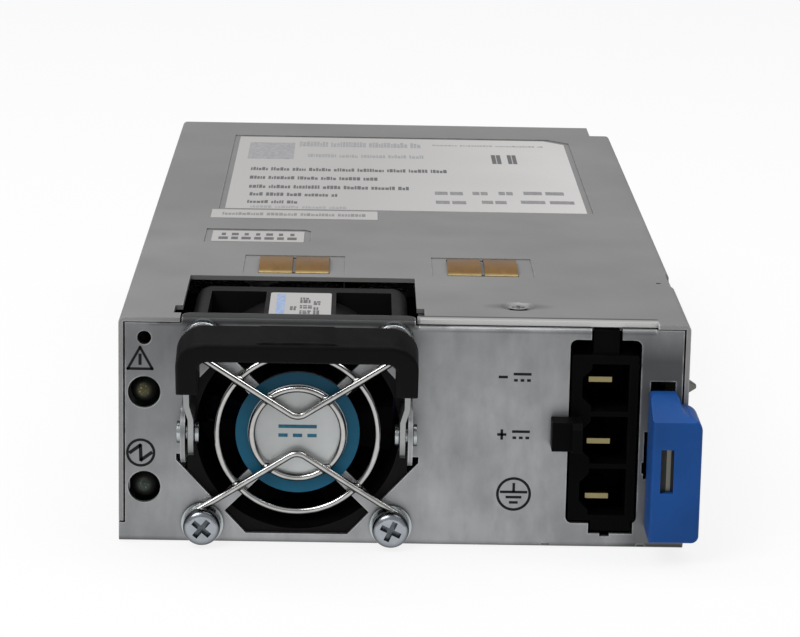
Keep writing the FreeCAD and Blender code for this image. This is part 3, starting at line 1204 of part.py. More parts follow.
def dc_inlet_blades():
    """Flat blades that run back out of the housing and turn down through the board."""
    blades = []
    for row in range(3):
        z = blade_height(row)
        x0, x1, y0, y1 = blade_leg(row)
        bar = box(BLADE_LEFT, BLADE_LEFT + BLADE_WIDTH, behind(BLADE_TIP_BEHIND), y1,
                  z - BLADE_SHEET / 2, z + BLADE_SHEET / 2)
        blades.append(fuse(bar, box(x0, x1, y0, y1, BOARD_BOTTOM - 1.5, z + BLADE_SHEET / 2)))
    return blades


# Lamps, marks and labels

def lamp_legs(height, y0, y1):
    half = LAMP_LEG / 2
    return [box(LAMP_X + side * LAMP_LEG_PITCH / 2 - half, LAMP_X + side * LAMP_LEG_PITCH / 2 + half,
                y0, y1, height - half, height + half) for side in (-1, 1)]


def lamp(height):
    """Round lamp with a domed tip, a flange with a flat, and two legs into the lamp board."""
    tip = behind(LAMP_TIP_BEHIND)
    back = tip + LAMP_BODY_LENGTH
    body = rod_y(LAMP_RADIUS, LAMP_X, tip + LAMP_RADIUS, back, height)
    dome = Part.makeSphere(LAMP_RADIUS, v(LAMP_X, tip + LAMP_RADIUS, height))
    flange = rod_y(LAMP_FLANGE_RADIUS, LAMP_X, back - LAMP_FLANGE, back, height)
    flat = SLIP - LIP_INNER
    flange = flange.cut(box(flat - 2, flat, back - 2, back + 1, height - 4, height + 4))
    legs = lamp_legs(height, back - LAMP_FLANGE / 2, LAMP_BOARD_Y + LAMP_BOARD_THICKNESS)
    return fuse(body, dome, flange, *legs)


def lamp_board():
    y0, y1 = LAMP_BOARD_Y, LAMP_BOARD_Y + LAMP_BOARD_THICKNESS
    board = box(SLIP - LIP_INNER, LAMP_X + LAMP_BOARD_MARGIN, y0, y1, TRAY_SHEET,
                FAULT_LAMP_HEIGHT + LAMP_BOARD_MARGIN)
    holes = []
    for height in (FAULT_LAMP_HEIGHT, POWER_LAMP_HEIGHT):
        holes += lamp_legs(height, y0 - 1, y1 + 1)
    return board.cut(holes)


def panel_sticker():
    """Round sticker on the disc, pressed in where the guard's rings touch it."""
    disc = rod_y(DISC_RADIUS, FAN_X, FRONT - STICKER_THICKNESS, FRONT, FAN_Z)
    return disc.cut([Part.makeTorus(radius, WIRE_RADIUS + 0.02, v(FAN_X, RING_Y, FAN_Z), Y_AXIS)
                     for radius in (INNER_RING_RADIUS, OUTER_RING_RADIUS)])


def cover_label(place, floor, chamfer):
    return prism_z(label_outline(place, 0, chamfer), floor, floor + LABEL_THICKNESS)


def contact_springs(centre):
    """Two arched fingers that rise out of one slot, dip into the other and share a hooked foot."""
    x0, x1, y0 = spring_place(centre)
    y1 = y0 + SPRING_LENGTH
    low = UNDER_COVER - SPRING_FIT
    fall, crest, t = low - SPRING_SHEET, HEIGHT + SPRING_RISE, SPRING_SHEET
    rise0, rise1 = y0 + SPRING_SLOPE, y1 - SPRING_SLOPE
    outer = [(y0, fall), (y0, HEIGHT), (rise0, crest), (rise1, crest), (y1, HEIGHT), (y1, fall)]
    inner = [(y1 - t, fall), (y1 - t, HEIGHT - 0.1), (rise1 - t * 0.3, crest - t),
             (rise0 + t * 0.3, crest - t), (y0 + t, HEIGHT - 0.1), (y0 + t, fall)]
    fingers = [prism_x(outer + inner, start, start + SPRING_FINGER_WIDTH)
               for start in (x0, x1 - SPRING_FINGER_WIDTH)]
    return fuse(box(x0, x1, y0 + t, y0 + SPRING_FOOT, fall, low), *fingers)


def cover_screw():
    x, y = COVER_SCREW_X, behind(COVER_SCREW_BEHIND)
    seat = HEIGHT - DIMPLE_DEPTH
    top = seat + COVER_SCREW_HEAD
    head = Part.makeCone(COVER_SCREW_RADIUS, COVER_SCREW_HEAD_RADIUS, COVER_SCREW_HEAD, v(x, y, seat))
    shank = rod_z(COVER_SCREW_RADIUS, x, y, TAB_TOP - COVER_SCREW_LENGTH, seat)
    return fuse(shank, head).cut([box(x - a, x + a, y - b, y + b, top - COVER_CROSS_DEPTH, top + 1)
                                  for a, b in cross_cuts(COVER_CROSS_HALF_LENGTH, COVER_CROSS_HALF_WIDTH)])


# Inside: liner, board and its components

def standoff_places():
    left, right = BOARD_X0 + STANDOFF_INSET, BOARD_X1 - STANDOFF_INSET
    front, rear = behind(BOARD_START) + STANDOFF_INSET, behind(BOARD_END) - STANDOFF_INSET
    return [(x, y) for x in (left, right) for y in (front, (front + rear) / 2, rear)]


def liner():
    """Sheet on the floor, cut back round the fan."""
    left = BOARD_X0 - LINER_SIDE_MARGIN
    sheet = box(left, LATCH_X - LATCH_CURL_OUTER - 1.0, behind(BOARD_STEP_START) + LINER_FRONT_GAP,
                REAR - TRAY_SHEET - 1, TRAY_SHEET, LINER_TOP)
    fan_side = box(left - 1, FAN_X + FAN_SIZE / 2 + 1, FRONT, behind(BOARD_START) - 2, 0, LINER_TOP + 1)
    return sheet.cut(fan_side)


def board_standoffs():
    posts = []
    for x, y in standoff_places():
        post = rod_z(STANDOFF_RADIUS, x, y, LINER_TOP, BOARD_BOTTOM)
        posts.append(post.cut(rod_z(BOARD_SCREW_RADIUS, x, y, LINER_TOP + 1, BOARD_BOTTOM + 1)))
    return posts


def board_screws():
    screws = []
    for x, y in standoff_places():
        shank = rod_z(BOARD_SCREW_RADIUS, x, y, LINER_TOP + 1.5, BOARD_TOP)
        head = rod_z(BOARD_SCREW_HEAD_RADIUS, x, y, BOARD_TOP, BOARD_TOP + BOARD_SCREW_HEAD_HEIGHT)
        screws.append(fuse(shank, head))
    return screws


def card_key():
    """Left and right side of the key slot in the card edge."""
    left = CARD_KEY_START - CARD_HALF
    return left, left + CARD_KEY_WIDTH


def main_board():
    z0, z1 = BOARD_BOTTOM, BOARD_TOP
    body = box(BOARD_X0, BOARD_X1, behind(BOARD_START), behind(BOARD_END), z0, z1)
    step = box(BOARD_STEP_X, BOARD_X1, behind(BOARD_STEP_START), behind(BOARD_START) + 1, z0, z1)
    card = box(-CARD_HALF, CARD_HALF, behind(BOARD_END) - 1, REAR + CARD_REACH, z0, z1)
    key_left, key_right = card_key()
    holes = [box(key_left, key_right, REAR, REAR + CARD_REACH + 1, z0 - 1, z1 + 1)]
    for x, y in standoff_places():
        holes.append(rod_z(BOARD_SCREW_RADIUS, x, y, z0 - 1, z1 + 1))
    for row in range(3):
        x0, x1, y0, y1 = blade_leg(row)
        holes.append(box(x0, x1, y0, y1, z0 - 1, z1 + 1))
    return fuse(body, step, card).cut(holes)


def card_contacts():
    """Gold fingers on both faces of the card edge, left out beside the key slot."""
    fingers = []
    count = int((CARD_WIDTH - CARD_PITCH) // CARD_PITCH)
    half = CARD_FINGER_WIDTH / 2
    key_left, key_right = card_key()
    y1 = REAR + CARD_REACH - 0.5
    for i in range(count):
        x = (i - (count - 1) / 2) * CARD_PITCH
        if key_left - CARD_KEY_CLEAR < x < key_right + CARD_KEY_CLEAR:
            continue
        for z0 in (BOARD_TOP, BOARD_BOTTOM - CARD_FINGER_THICKNESS):
            fingers.append(box(x - half, x + half, y1 - CARD_FINGER_LENGTH, y1,
                               z0, z0 + CARD_FINGER_THICKNESS))
    return fingers


def can_capacitor(x, y, radius, top):
    """Aluminium can with a crimped groove near its foot and a rounded crown."""
    can = rod_z(radius, x, y, BOARD_TOP, top)
    groove = Part.makeTorus(radius + 0.3, CAN_GROOVE_RADIUS, v(x, y, BOARD_TOP + CAN_GROOVE_HEIGHT), Z_AXIS)
    can = can.cut(groove)
    return can.makeFillet(CAN_EDGE_RADIUS, [e for e in can.Edges if abs(e.CenterOfMass.z - top) < 0.01])


def input_capacitors():
    """As many cans as fit between the board's left side and the choke."""
    first = across(INPUT_CAN_FROM_LEFT)
    room = CHOKE_X - CHOKE_HALF - INPUT_CAN_GAP - INPUT_CAN_RADIUS - first
    y = behind(INPUT_CAN_BEHIND)
    return [can_capacitor(first + i * INPUT_CAN_PITCH, y, INPUT_CAN_RADIUS, COMPONENT_TOP)
            for i in range(int(room // INPUT_CAN_PITCH) + 1)]


def output_capacitors():
    """Row of small cans in front of the card edge."""
    first = across(OUTPUT_CAN_FROM_LEFT)
    room = SIDE - OUTPUT_CAN_FROM_RIGHT - first
    return [can_capacitor(first + i * OUTPUT_CAN_PITCH, behind(OUTPUT_CAN_BEHIND), OUTPUT_CAN_RADIUS,
                          BOARD_TOP + OUTPUT_CAN_HEIGHT) for i in range(int(room // OUTPUT_CAN_PITCH) + 1)]


def filter_choke():
    ring = Part.makeTorus(CHOKE_RING_RADIUS, CHOKE_WIRE_RADIUS,
                          v(CHOKE_X, behind(CHOKE_BEHIND), BOARD_TOP + CHOKE_WIRE_RADIUS), Z_AXIS)
    return ring.cut(choke_base())


def choke_base():
    return rod_z(CHOKE_BASE_RADIUS, CHOKE_X, behind(CHOKE_BEHIND), BOARD_TOP,
                 BOARD_TOP + CHOKE_BASE_THICKNESS)


def centred_box(y, half_x, half_y, z0, z1):
    """Box round the middle line between the two sinks."""
    return box(MIDDLE_X - half_x, MIDDLE_X + half_x, y - half_y, y + half_y, z0, z1)


def transformer_core():
    """Two E-shaped halves closed round the winding, as one rectangular frame with a middle limb."""
    y = behind(TRANSFORMER_BEHIND)
    block = centred_box(y, CORE_HALF_WIDTH, CORE_DEPTH / 2, CORE_BOTTOM, COMPONENT_TOP)
    inner, outer = CORE_LIMB / 2, CORE_HALF_WIDTH - CORE_LEG
    windows = []
    for side in (-1, 1):
        lo, hi = sorted((side * inner, side * outer))
        windows.append(box(MIDDLE_X + lo, MIDDLE_X + hi, y - CORE_DEPTH, y + CORE_DEPTH,
                           WINDOW_BOTTOM, WINDOW_TOP))
    return along(Z_AXIS, block, CORE_EDGE_RADIUS).cut(windows)


def transformer_winding():
    y = behind(TRANSFORMER_BEHIND)
    half = CORE_HALF_WIDTH - CORE_LEG - WINDING_FIT
    outer = centred_box(y, half, WINDING_HALF_DEPTH, WINDOW_BOTTOM + WINDING_FIT, WINDOW_TOP - WINDING_FIT)
    limb = centred_box(y, CORE_LIMB / 2 + WINDING_FIT, CORE_DEPTH / 2 + WINDING_FIT,
                       WINDOW_BOTTOM, WINDOW_TOP)
    return along(Z_AXIS, outer, WINDING_CORNER).cut(limb)


def transformer_bobbin():
    """Web under the core, with a rail at each end that carries the winding."""
    y = behind(TRANSFORMER_BEHIND)
    half = CORE_HALF_WIDTH - CORE_LEG + WINDING_FIT
    rail_inner = CORE_DEPTH / 2 + WINDING_FIT
    rails = []
    for side in (-1, 1):
        near, far = sorted((side * rail_inner, side * (rail_inner + BOBBIN_RAIL)))
        rails.append(box(MIDDLE_X - half, MIDDLE_X + half, y + near, y + far,
                         BOARD_TOP, WINDOW_BOTTOM + WINDING_FIT))
    web = centred_box(y, half, rail_inner + 1, BOARD_TOP, CORE_BOTTOM)
    return fuse(web, *rails)


def finned_sink(x, direction):
    """Extruded sink along Y: a standing plate with short fins on one side."""
    y0, y1 = behind(SINK_START), behind(SINK_END)
    z0, z1 = BOARD_TOP, UNDER_COVER - SINK_HEADROOM
    plate = box(x - SINK_PLATE / 2, x + SINK_PLATE / 2, y0, y1, z0, z1)
    fins = []
    pitch = (z1 - z0 - SINK_FIN) / (SINK_FIN_COUNT - 1)
    lo, hi = sorted((x, x + direction * SINK_FIN_REACH))
    for i in range(SINK_FIN_COUNT):
        z = z0 + i * pitch
        fins.append(box(lo, hi, y0, y1, z, z + SINK_FIN))
    return fuse(plate, *fins)


def power_transistors(x, direction):
    """Flat packages against the sink's plate, with three legs each down to the board."""
    near = x - direction * SINK_PLATE / 2
    lo, hi = sorted((near, near - direction * TRANSISTOR_THICKNESS))
    leg_lo = (lo + hi) / 2 - TRANSISTOR_LEG_THICKNESS / 2
    pitch = (SINK_END - SINK_START) / TRANSISTOR_COUNT
    low = BOARD_TOP + TRANSISTOR_LIFT
    solids = []
    for i in range(TRANSISTOR_COUNT):
        y = behind(SINK_START + (i + 0.5) * pitch)
        body = box(lo, hi, y - TRANSISTOR_WIDTH / 2, y + TRANSISTOR_WIDTH / 2, low, low + TRANSISTOR_HEIGHT)
        legs = []
        for step in (-1, 0, 1):
            leg_y = y + step * TRANSISTOR_LEG_PITCH - TRANSISTOR_LEG_WIDTH / 2
            legs.append(box(leg_lo, leg_lo + TRANSISTOR_LEG_THICKNESS, leg_y, leg_y + TRANSISTOR_LEG_WIDTH,
                            BOARD_TOP, low + 0.5))
        solids.append(fuse(body, *legs))
    return solids


def output_choke():
    """Square moulded choke midway between the transformer and the output cans."""
    winding_end = TRANSFORMER_BEHIND + WINDING_HALF_DEPTH
    y = behind((winding_end + OUTPUT_CAN_BEHIND - OUTPUT_CAN_RADIUS) / 2)
    half, top = OUTPUT_CHOKE_SIZE / 2, BOARD_TOP + OUTPUT_CHOKE_HEIGHT
    block = along(Z_AXIS, centred_box(y, half, half, BOARD_TOP, top), OUTPUT_CHOKE_CORNER)
    return block.cut(rod_z(OUTPUT_CHOKE_WELL, MIDDLE_X, y, top - 1, top + 1))


def main():
    os.makedirs("parts", exist_ok=True)
    save("tray", tray())
    save("top_cover", top_cover())
    save("fan_housing", fan_housing())
    save("fan_rotor", fan_rotor())
    save("fan_shaft", fan_shaft())
    save("fan_bearing", fan_bearing())
    core, coils = fan_stator()
    save("fan_stator_core", core)
    save("fan_stator_coils", *coils)
    save("fan_label", fan_label())
    save("finger_guard", finger_guard())
    save("guard_washers", *guard_washers())
    save("guard_screws", *guard_screws())
    strip = bail_strip()
    save("bail_grip", lean(bail_grip(strip)))
    save("bail_strip", lean(strip))
    save("bail_rivets", *bail_rivets())
    latch = latch_strip()
    save("latch_strip", latch)
    save("latch_pad", latch_pad(latch))
    save("latch_pin", latch_pin())
    save("dc_inlet_housing", dc_inlet_housing())
    save("dc_inlet_blades", *dc_inlet_blades())
    save("fault_lamp", lamp(FAULT_LAMP_HEIGHT))
    save("power_lamp", lamp(POWER_LAMP_HEIGHT))
    save("lamp_board", lamp_board())
    save("panel_sticker", panel_sticker())
    save("rating_label", cover_label(rating_label_place(), RECESS_FLOOR, RATING_LABEL_CHAMFER))
    save("strip_label", cover_label(near_label_place(STRIP_LABEL), HEIGHT, LABEL_CORNER))
    save("small_label", cover_label(near_label_place(SMALL_LABEL), RECESS_FLOOR, LABEL_CORNER))
    save("contact_springs_left", contact_springs(SPRING_CENTRES[0]))
    save("contact_springs_right", contact_springs(SPRING_CENTRES[1]))
    save("cover_screw", cover_screw())
    save("insulating_liner", liner())
    save("board_standoffs", *board_standoffs())
    save("board_screws", *board_screws())
    save("main_board", main_board())
    save("card_contacts", *card_contacts())
    save("input_capacitors", *input_capacitors())
    save("output_capacitors", *output_capacitors())
    save("filter_choke", filter_choke())
    save("filter_choke_base", choke_base())
    save("transformer_core", transformer_core())
    save("transformer_winding", transformer_winding())
    save("transformer_bobbin", transformer_bobbin())
    save("output_choke", output_choke())
    save("heat_sink_left", finned_sink(SINK_LEFT_X, 1))
    save("heat_sink_right", finned_sink(SINK_RIGHT_X, -1))
    save("power_transistors_left", *power_transistors(SINK_LEFT_X, 1))
    save("power_transistors_right", *power_transistors(SINK_RIGHT_X, -1))


main()
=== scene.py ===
import json
import math
import random

import bmesh
import bpy
from mathutils import Matrix, Vector

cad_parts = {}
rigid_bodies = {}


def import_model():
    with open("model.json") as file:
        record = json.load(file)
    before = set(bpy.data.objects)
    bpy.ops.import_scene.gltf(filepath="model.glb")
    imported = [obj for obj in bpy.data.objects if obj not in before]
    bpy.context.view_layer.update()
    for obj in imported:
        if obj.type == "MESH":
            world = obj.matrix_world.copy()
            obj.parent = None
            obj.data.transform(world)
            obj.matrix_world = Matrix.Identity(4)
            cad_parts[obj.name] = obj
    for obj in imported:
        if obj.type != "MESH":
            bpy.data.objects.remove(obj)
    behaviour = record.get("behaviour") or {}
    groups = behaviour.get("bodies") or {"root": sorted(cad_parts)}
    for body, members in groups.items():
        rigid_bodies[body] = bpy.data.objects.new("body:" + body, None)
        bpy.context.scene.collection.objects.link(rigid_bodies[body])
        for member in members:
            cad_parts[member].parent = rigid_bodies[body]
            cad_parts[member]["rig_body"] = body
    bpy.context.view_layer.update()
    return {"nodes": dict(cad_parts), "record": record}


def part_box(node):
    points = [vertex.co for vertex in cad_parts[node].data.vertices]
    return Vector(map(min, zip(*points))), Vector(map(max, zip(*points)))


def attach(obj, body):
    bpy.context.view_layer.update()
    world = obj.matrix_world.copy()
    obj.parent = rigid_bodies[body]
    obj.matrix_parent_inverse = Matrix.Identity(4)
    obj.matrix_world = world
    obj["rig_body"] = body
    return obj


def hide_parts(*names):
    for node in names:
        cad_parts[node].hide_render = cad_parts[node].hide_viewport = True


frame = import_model()

bl_info = {
    "name": "Switch power supply module",
    "version": (1, 0, 0),
    "blender": (4, 5, 0),
    "location": "3D View > Sidebar > Power Module",
    "description": "Finishes, prints and small details of a slide-in power supply module",
    "category": "Object",
}


def middle_of(node):
    return [(a + b) / 2 for a, b in zip(*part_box(node))]


MM = 0.001
MERGE = 1e-6
FLAT_ANGLE = math.radians(0.4)
EDGE_ANGLE = math.radians(30.0)
LEVEL_NORMAL = 0.9999
RING_STEPS = 48
DOT_STEPS = 16
PRINT_HEIGHT = 0.00002

PANEL_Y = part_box("top_cover")[0].y
TOP_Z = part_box("top_cover")[1].z
FAN_X, _, FAN_Z = middle_of("fan_housing")
FAULT_LAMP = middle_of("fault_lamp")
POWER_LAMP = middle_of("power_lamp")
COVER_SCREW = middle_of("cover_screw")
SPRING_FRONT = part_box("contact_springs_left")[0].y


# Places of the printed marks on the front panel

FAULT_MARK = (-45.3 * MM, 32.8 * MM)
POWER_MARK = (-45.2 * MM, 15.98 * MM)
EARTH_MARK = (19.32 * MM, 9.52 * MM)
POLE_X = 17.0 * MM
MINUS_Z = 30.41 * MM
PLUS_Z = 20.18 * MM

# Shapes of the marks: the fault mark's bar as shares of its height, the points and lines inside the
# power and earth marks as shares of their radius, and what is added or thicker as shares of a stroke

FAULT_BAR = (0.22, 0.66)
FAULT_BAR_WIDTH = 1.2
ZIGZAG = ((-0.80, 0.0), (-0.02, 0.58), (0.02, -0.58), (0.80, 0.0))
ZIGZAG_WIDTH = 1.3
EARTH_STEM = (0.66, 0.16)
EARTH_LINES = ((0.13, 0.80), (-0.20, 0.44), (-0.54, 0.22))
PLUS_STRETCH = 1.2
STROKE_OVERLAP = 0.6
DOT_RADIUS = 0.55

# Direct-current mark on the panel: where its middle is, half of its bar, how far the bar and the dashes
# are from its middle, the pitch of the dashes and half of a dash

DC_X = 20.3 * MM
DC_BAR = 1.4 * MM
DC_RISE = 0.55 * MM
DC_PITCH = 1.12 * MM
DC_DASH = 0.18 * MM

# Direct-current mark on the sticker, in millimetres from the fan's axis: start, end and height of each
# stroke, and how wide they are

DISC_STROKES = ((-3.3, 3.3, 1.1), (-3.3, -1.7, -0.5), (-0.8, 0.8, -0.5), (1.7, 3.3, -0.5))
DISC_STROKE = 0.62

# Rows of print on the big label, in millimetres from its front left corner: start, end, height over
# the front edge, height of the row, shortest and longest word

TEXT_ROWS = (
    (3.7, 45.8, 41.4, 3.6, 1.2, 2.6),
    (3.8, 30.5, 31.6, 3.4, 1.0, 2.4),
    (4.0, 37.0, 21.6, 3.6, 1.2, 2.6),
    (4.4, 22.3, 13.4, 3.4, 1.0, 2.2),
    (4.2, 14.0, 5.6, 3.0, 1.0, 2.0),
)
FAINT_ROWS = (
    (13.5, 40.3, 70.9, 6.0, 1.6, 3.6),
    (15.6, 40.8, 58.0, 3.6, 1.2, 3.0),
    (5.0, 25.0, 0.9, 2.2, 1.0, 2.6),
    (43.2, 67.6, 74.0, 1.6, 2.0, 5.0),
)

# Blocks on the big label, in millimetres from the same corner: start, end, height over the front edge
# and height of the block. Each is two halves with a gap, and one over the tall height is darker.
# The faint block gives its middle and its size.

SEAL_BLOCKS = (
    (42.5, 48.8, 17.2, 3.4), (50.3, 53.7, 17.6, 3.4), (55.7, 58.9, 18.0, 3.4), (60.9, 70.0, 18.6, 3.4),
    (42.5, 49.2, 7.7, 3.2), (51.9, 57.4, 8.5, 3.2), (59.9, 71.8, 9.2, 3.2),
    (55.8, 58.0, 53.1, 10.6), (59.3, 61.4, 53.3, 10.6),
)
TALL_BLOCK = 5
HALF_SHARE = 0.42
HALF_INSET = 0.05
FAINT_BLOCK = (7.5, 65.0, 10.0, 20.0)

# Pairs of blocks on the small label: how many, and their pitch in millimetres

SMALL_LABEL_PAIRS = 7
SMALL_LABEL_PITCH = 2.2

# Columns of print on the fan's label, in millimetres from its front left corner: start, end, height
# over the front edge and height of the column, whose two rows are shares of it

FAN_LABEL_COLUMNS = (
    (3.6, 4.6, 5.0, 3.0), (5.3, 6.9, 2.4, 2.6), (5.3, 6.9, 6.4, 2.6), (5.3, 6.9, 10.6, 4.4),
    (7.7, 8.6, 2.0, 5.6), (7.7, 8.6, 9.2, 3.0),
)
FAN_LABEL_ROWS = ((0.0, 0.55), (0.62, 0.35))

# Strokes of a word: the least and greatest width, the gap after a stroke and the gap after a word in
# millimetres, then the heights as shares of the row's, and how much longer words are than a row says

STROKE_WIDTHS = (0.30, 0.75)
STROKE_GAP = 0.16
WORD_GAP = 0.55
STROKE_HEIGHTS = (1.0, 1.0, 0.72, 0.86)
WORD_STRETCH = 2.2

# Places where the guard's bent wires cross its rings, in millimetres from the fan's axis, how far in
# front of the panel they touch, and the shape and steps of the bead there

WELDS = ((5.03, 6.09), (10.25, 9.39))
WELD_Y = PANEL_Y - 1.2 * MM
WELD_SHAPE = (1.25, 0.8, 1.0, 1.0)
WELD_STEPS = (16, 10)

# Slot in the latch pad, in millimetres across and up, the depths in metres behind the pad's and the
# screws' fronts between which faces get painted shade, and how far from a screw's axis

SLOT_X = (43.2, 47.4)
SLOT_Z = (12.0, 21.6)
SLOT_DEPTH = (0.00012, 0.002)
RECESS_DEPTH = (0.00006, 0.0022)
RECESS_REACH = 0.0022

# Tones on the pieces, in metres, most of them painted shade, shadows and highlights. A pair is where a
# tone starts and where it is full. Four numbers are where it starts, where it is full, where it fades and
# where it ends. The stretch is a share.

LEFT_SHADE = (-0.030, -0.043)
RIGHT_SHADE = (0.018, 0.040)
UPPER_SHADE = (0.010, 0.036)
FOOT_SHADE = (0.0011, 0.0003)
INLET_SHADOW_X = (0.0355, 0.0405)
INLET_SHADOW_Z = (0.0385, 0.0335)
FOLD_Z = (TOP_Z - 0.0016, TOP_Z - 0.0006)
FOLD_SIDE = (0.0262, 0.0250)
FRONT_HIGHLIGHT_X = (0.0024, 0.0027, 0.0434, 0.0437)
FRONT_HIGHLIGHT_Y = (-0.0945, -0.0947)
FRONT_HIGHLIGHT_RISE = (-0.0946, -0.0970)
GAP_SHADOW_Y = (-0.0936, -0.0940, -0.0944, -0.0948)
DIMPLE_RADIUS = (0.0028, 0.0012)
DIMPLE_STRETCH = 0.42
DIMPLE_REACH = 0.007
WINDOW_X = (0.0420, 0.0422, 0.0484, 0.0486)
WINDOW_Y = (-0.09735, -0.09715, -0.080, -0.070)
WINDOW_Z = (0.0225, 0.0245, 0.0315, 0.0335)
COPPER_HIGHLIGHT_Y = (SPRING_FRONT + 0.0011, SPRING_FRONT + 0.0003)
PAPER_SHADE_X = (-0.010, 0.037)
RING_EDGE = (0.00852, 0.00860)
HAIRLINE = (0.00830, 0.00836, 0.00854, 0.00860)
RING_TOP_SHADOW = (0.002, 0.011)
GLOW_EDGE = (0.0007, 0.0015)
SHEEN_AND_WEAR_REACH = 0.0005
OCCLUSION_SHADE_REACH = 0.0007

# Tints that no piece's own colour gives, as linear values, how white the floor looks to the camera, its
# size and the place that the lamps point at, and the depths of the surfaces' relief, in metres

# Tint of the painted highlight along the cover's front
FRONT_HIGHLIGHT_TINT = (0.66, 0.66, 0.65, 1.0)
DUST_TINT = (0.30, 0.30, 0.29, 1.0)
# Tint of the painted highlight along the springs' front edge
COPPER_HIGHLIGHT_TINT = (0.98, 0.82, 0.40, 1.0)
LAMP_BODY = (0.0045, 0.0052, 0.0042, 1.0)
FLOOR_TINT = (0.86, 0.86, 0.86, 1.0)
WHITE = (1.0, 1.0, 1.0, 1.0)
FLOOR_GLOW = 0.84
FLOOR_SIZE = 6.0
LAMPS_AIM = (0.0, -0.03, 0.02)
FINE_RELIEF = 0.00003
ROLLED_RELIEF = 0.00004


# Values that a user would change

def length(name, description, default):
    return bpy.props.FloatProperty(name=name, description=description, default=default, min=0.0,
                                   precision=5, unit="LENGTH")


def colour(name, description, default):
    return bpy.props.FloatVectorProperty(name=name, description=description, default=default, size=3,
                                         min=0.0, max=1.0, subtype="COLOR")


def number(name, description, default):
    return bpy.props.FloatProperty(name=name, description=description, default=default)


class PowerModuleColours(bpy.types.PropertyGroup):
    """Colours of the finishes, as linear values."""
    panel: colour("Panel", "Zinc-coated sheet of the tray", (0.398, 0.406, 0.416))
    cover: colour("Cover", "Duller zinc-coated sheet of the top cover", (0.30, 0.297, 0.298))
    wire: colour("Guard wire", "Bright nickel on the finger guard", (0.92, 0.92, 0.90))
    zinc: colour("Zinc", "Rivets, washers and the latch's pin", (0.56, 0.60, 0.62))
    grip: colour("Grip", "Black moulded grip and inlet", (0.0052, 0.0048, 0.0054))
    fan: colour("Fan", "Black moulded fan frame and wheel", (0.0085, 0.0080, 0.0088))
    pad: colour("Latch pad", "Blue moulded thumb pad", (0.0105, 0.066, 0.250))
    paper: colour("Label", "Paper of the labels", (0.47, 0.462, 0.458))
    ring: colour("Sticker ring", "Outer ring of the round sticker", (0.013, 0.115, 0.200))
    disc: colour("Sticker disc", "Middle of the round sticker", (0.58, 0.60, 0.60))
    print: colour("Print", "Black marks on the panel", (0.0055, 0.0055, 0.0065))
    copper: colour("Spring copper", "Contact springs on the cover", (0.49, 0.262, 0.065))
    blade: colour("Blade brass", "Flat blades in the inlet", (0.34, 0.29, 0.145))


class PowerModuleSizes(bpy.types.PropertyGroup):
    """Edge roundings and the sizes of the printed marks."""
    sheet_edge: length("Sheet edge", "Rounding of the sheet metal's cut edges", 0.00010)
    moulded_edge: length("Moulded edge", "Rounding of the moulded pieces' edges", 0.00020)
    small_edge: length("Small edge", "Rounding on small metal pieces", 0.00006)
    ink: length("Ink", "Height of the printed marks over the panel", 0.00002)
    stroke: length("Stroke", "Line width of the panel marks", 0.00046)
    triangle_width: length("Triangle width", "Width of the fault mark", 0.0042)
    triangle_height: length("Triangle height", "Height of the fault mark", 0.0038)
    circle_radius: length("Circle radius", "Radius of the power mark", 0.0023)
    earth_radius: length("Earth radius", "Radius of the earth mark", 0.0028)
    pole_size: length("Pole size", "Length of the plus and minus marks", 0.0013)
    weld_radius: length("Weld radius", "Size of the welds between the guard's wires", 0.00090)
    screw_head: length("Screw head", "Radius of the guard's screw heads", 0.0032)


class PowerModuleStage(bpy.types.PropertyGroup):
    """Camera, lamps and surroundings."""
    camera_place: bpy.props.FloatVectorProperty(
        name="Camera place", description="Where the camera stands", size=3, unit="LENGTH",
        default=(-0.0089, -0.6169, 0.1637))
    camera_turn: bpy.props.FloatVectorProperty(
        name="Camera turn", description="Tilt from straight down, roll and heading", size=3,
        unit="ROTATION", default=(math.radians(76.64), math.radians(1.10), math.radians(-0.88)))
    lens: number("Lens", "Focal length in millimetres", 140.5)
    key_power: number("Key power", "Watts of the large lamp", 6.0)
    over_power: number("Overhead power", "Watts of the long lamp", 7.0)
    world: number("World", "Strength of the even light", 0.36)


# Meshes

def add_object(name, data):
    piece = bpy.data.objects.new(name, data)
    bpy.context.scene.collection.objects.link(piece)
    return piece


def new_piece(bm, name, materials):
    """Turns a bmesh into an object at the origin."""
    mesh = bpy.data.meshes.new(name)
    bm.to_mesh(mesh)
    bm.free()
    for material in materials:
        mesh.materials.append(material)
    return add_object(name, mesh)


def slot_name(node):
    """Name of a CAD node's material slot."""
    parts = frame["record"]["subparts"]
    return next(part["material_slot"] for part in parts if part["node"] == node)


def add_to_case(bm, name, use):
    """New piece on the case, with a name and the finish for a use."""
    piece = new_piece(bm, name, [finish(use)])
    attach(piece, "case")


def smooth_by_angle(bm):
    for face in bm.faces:
        face.smooth = True
    for edge in bm.edges:
        edge.smooth = edge.calc_face_angle(math.pi) < EDGE_ANGLE


def crease_dimple(bm, place):
    """Keeps the level sheet round a pressed dimple level in its shading."""
    for edge in bm.edges:
        middle = (edge.verts[0].co + edge.verts[1].co) / 2
        away = math.hypot(middle.x - place[0], middle.y - place[1])
        if len(edge.link_faces) == 2 and away < DIMPLE_REACH:
            level = [face.normal.z > LEVEL_NORMAL for face in edge.link_faces]
            if level[0] != level[1]:
                edge.smooth = False


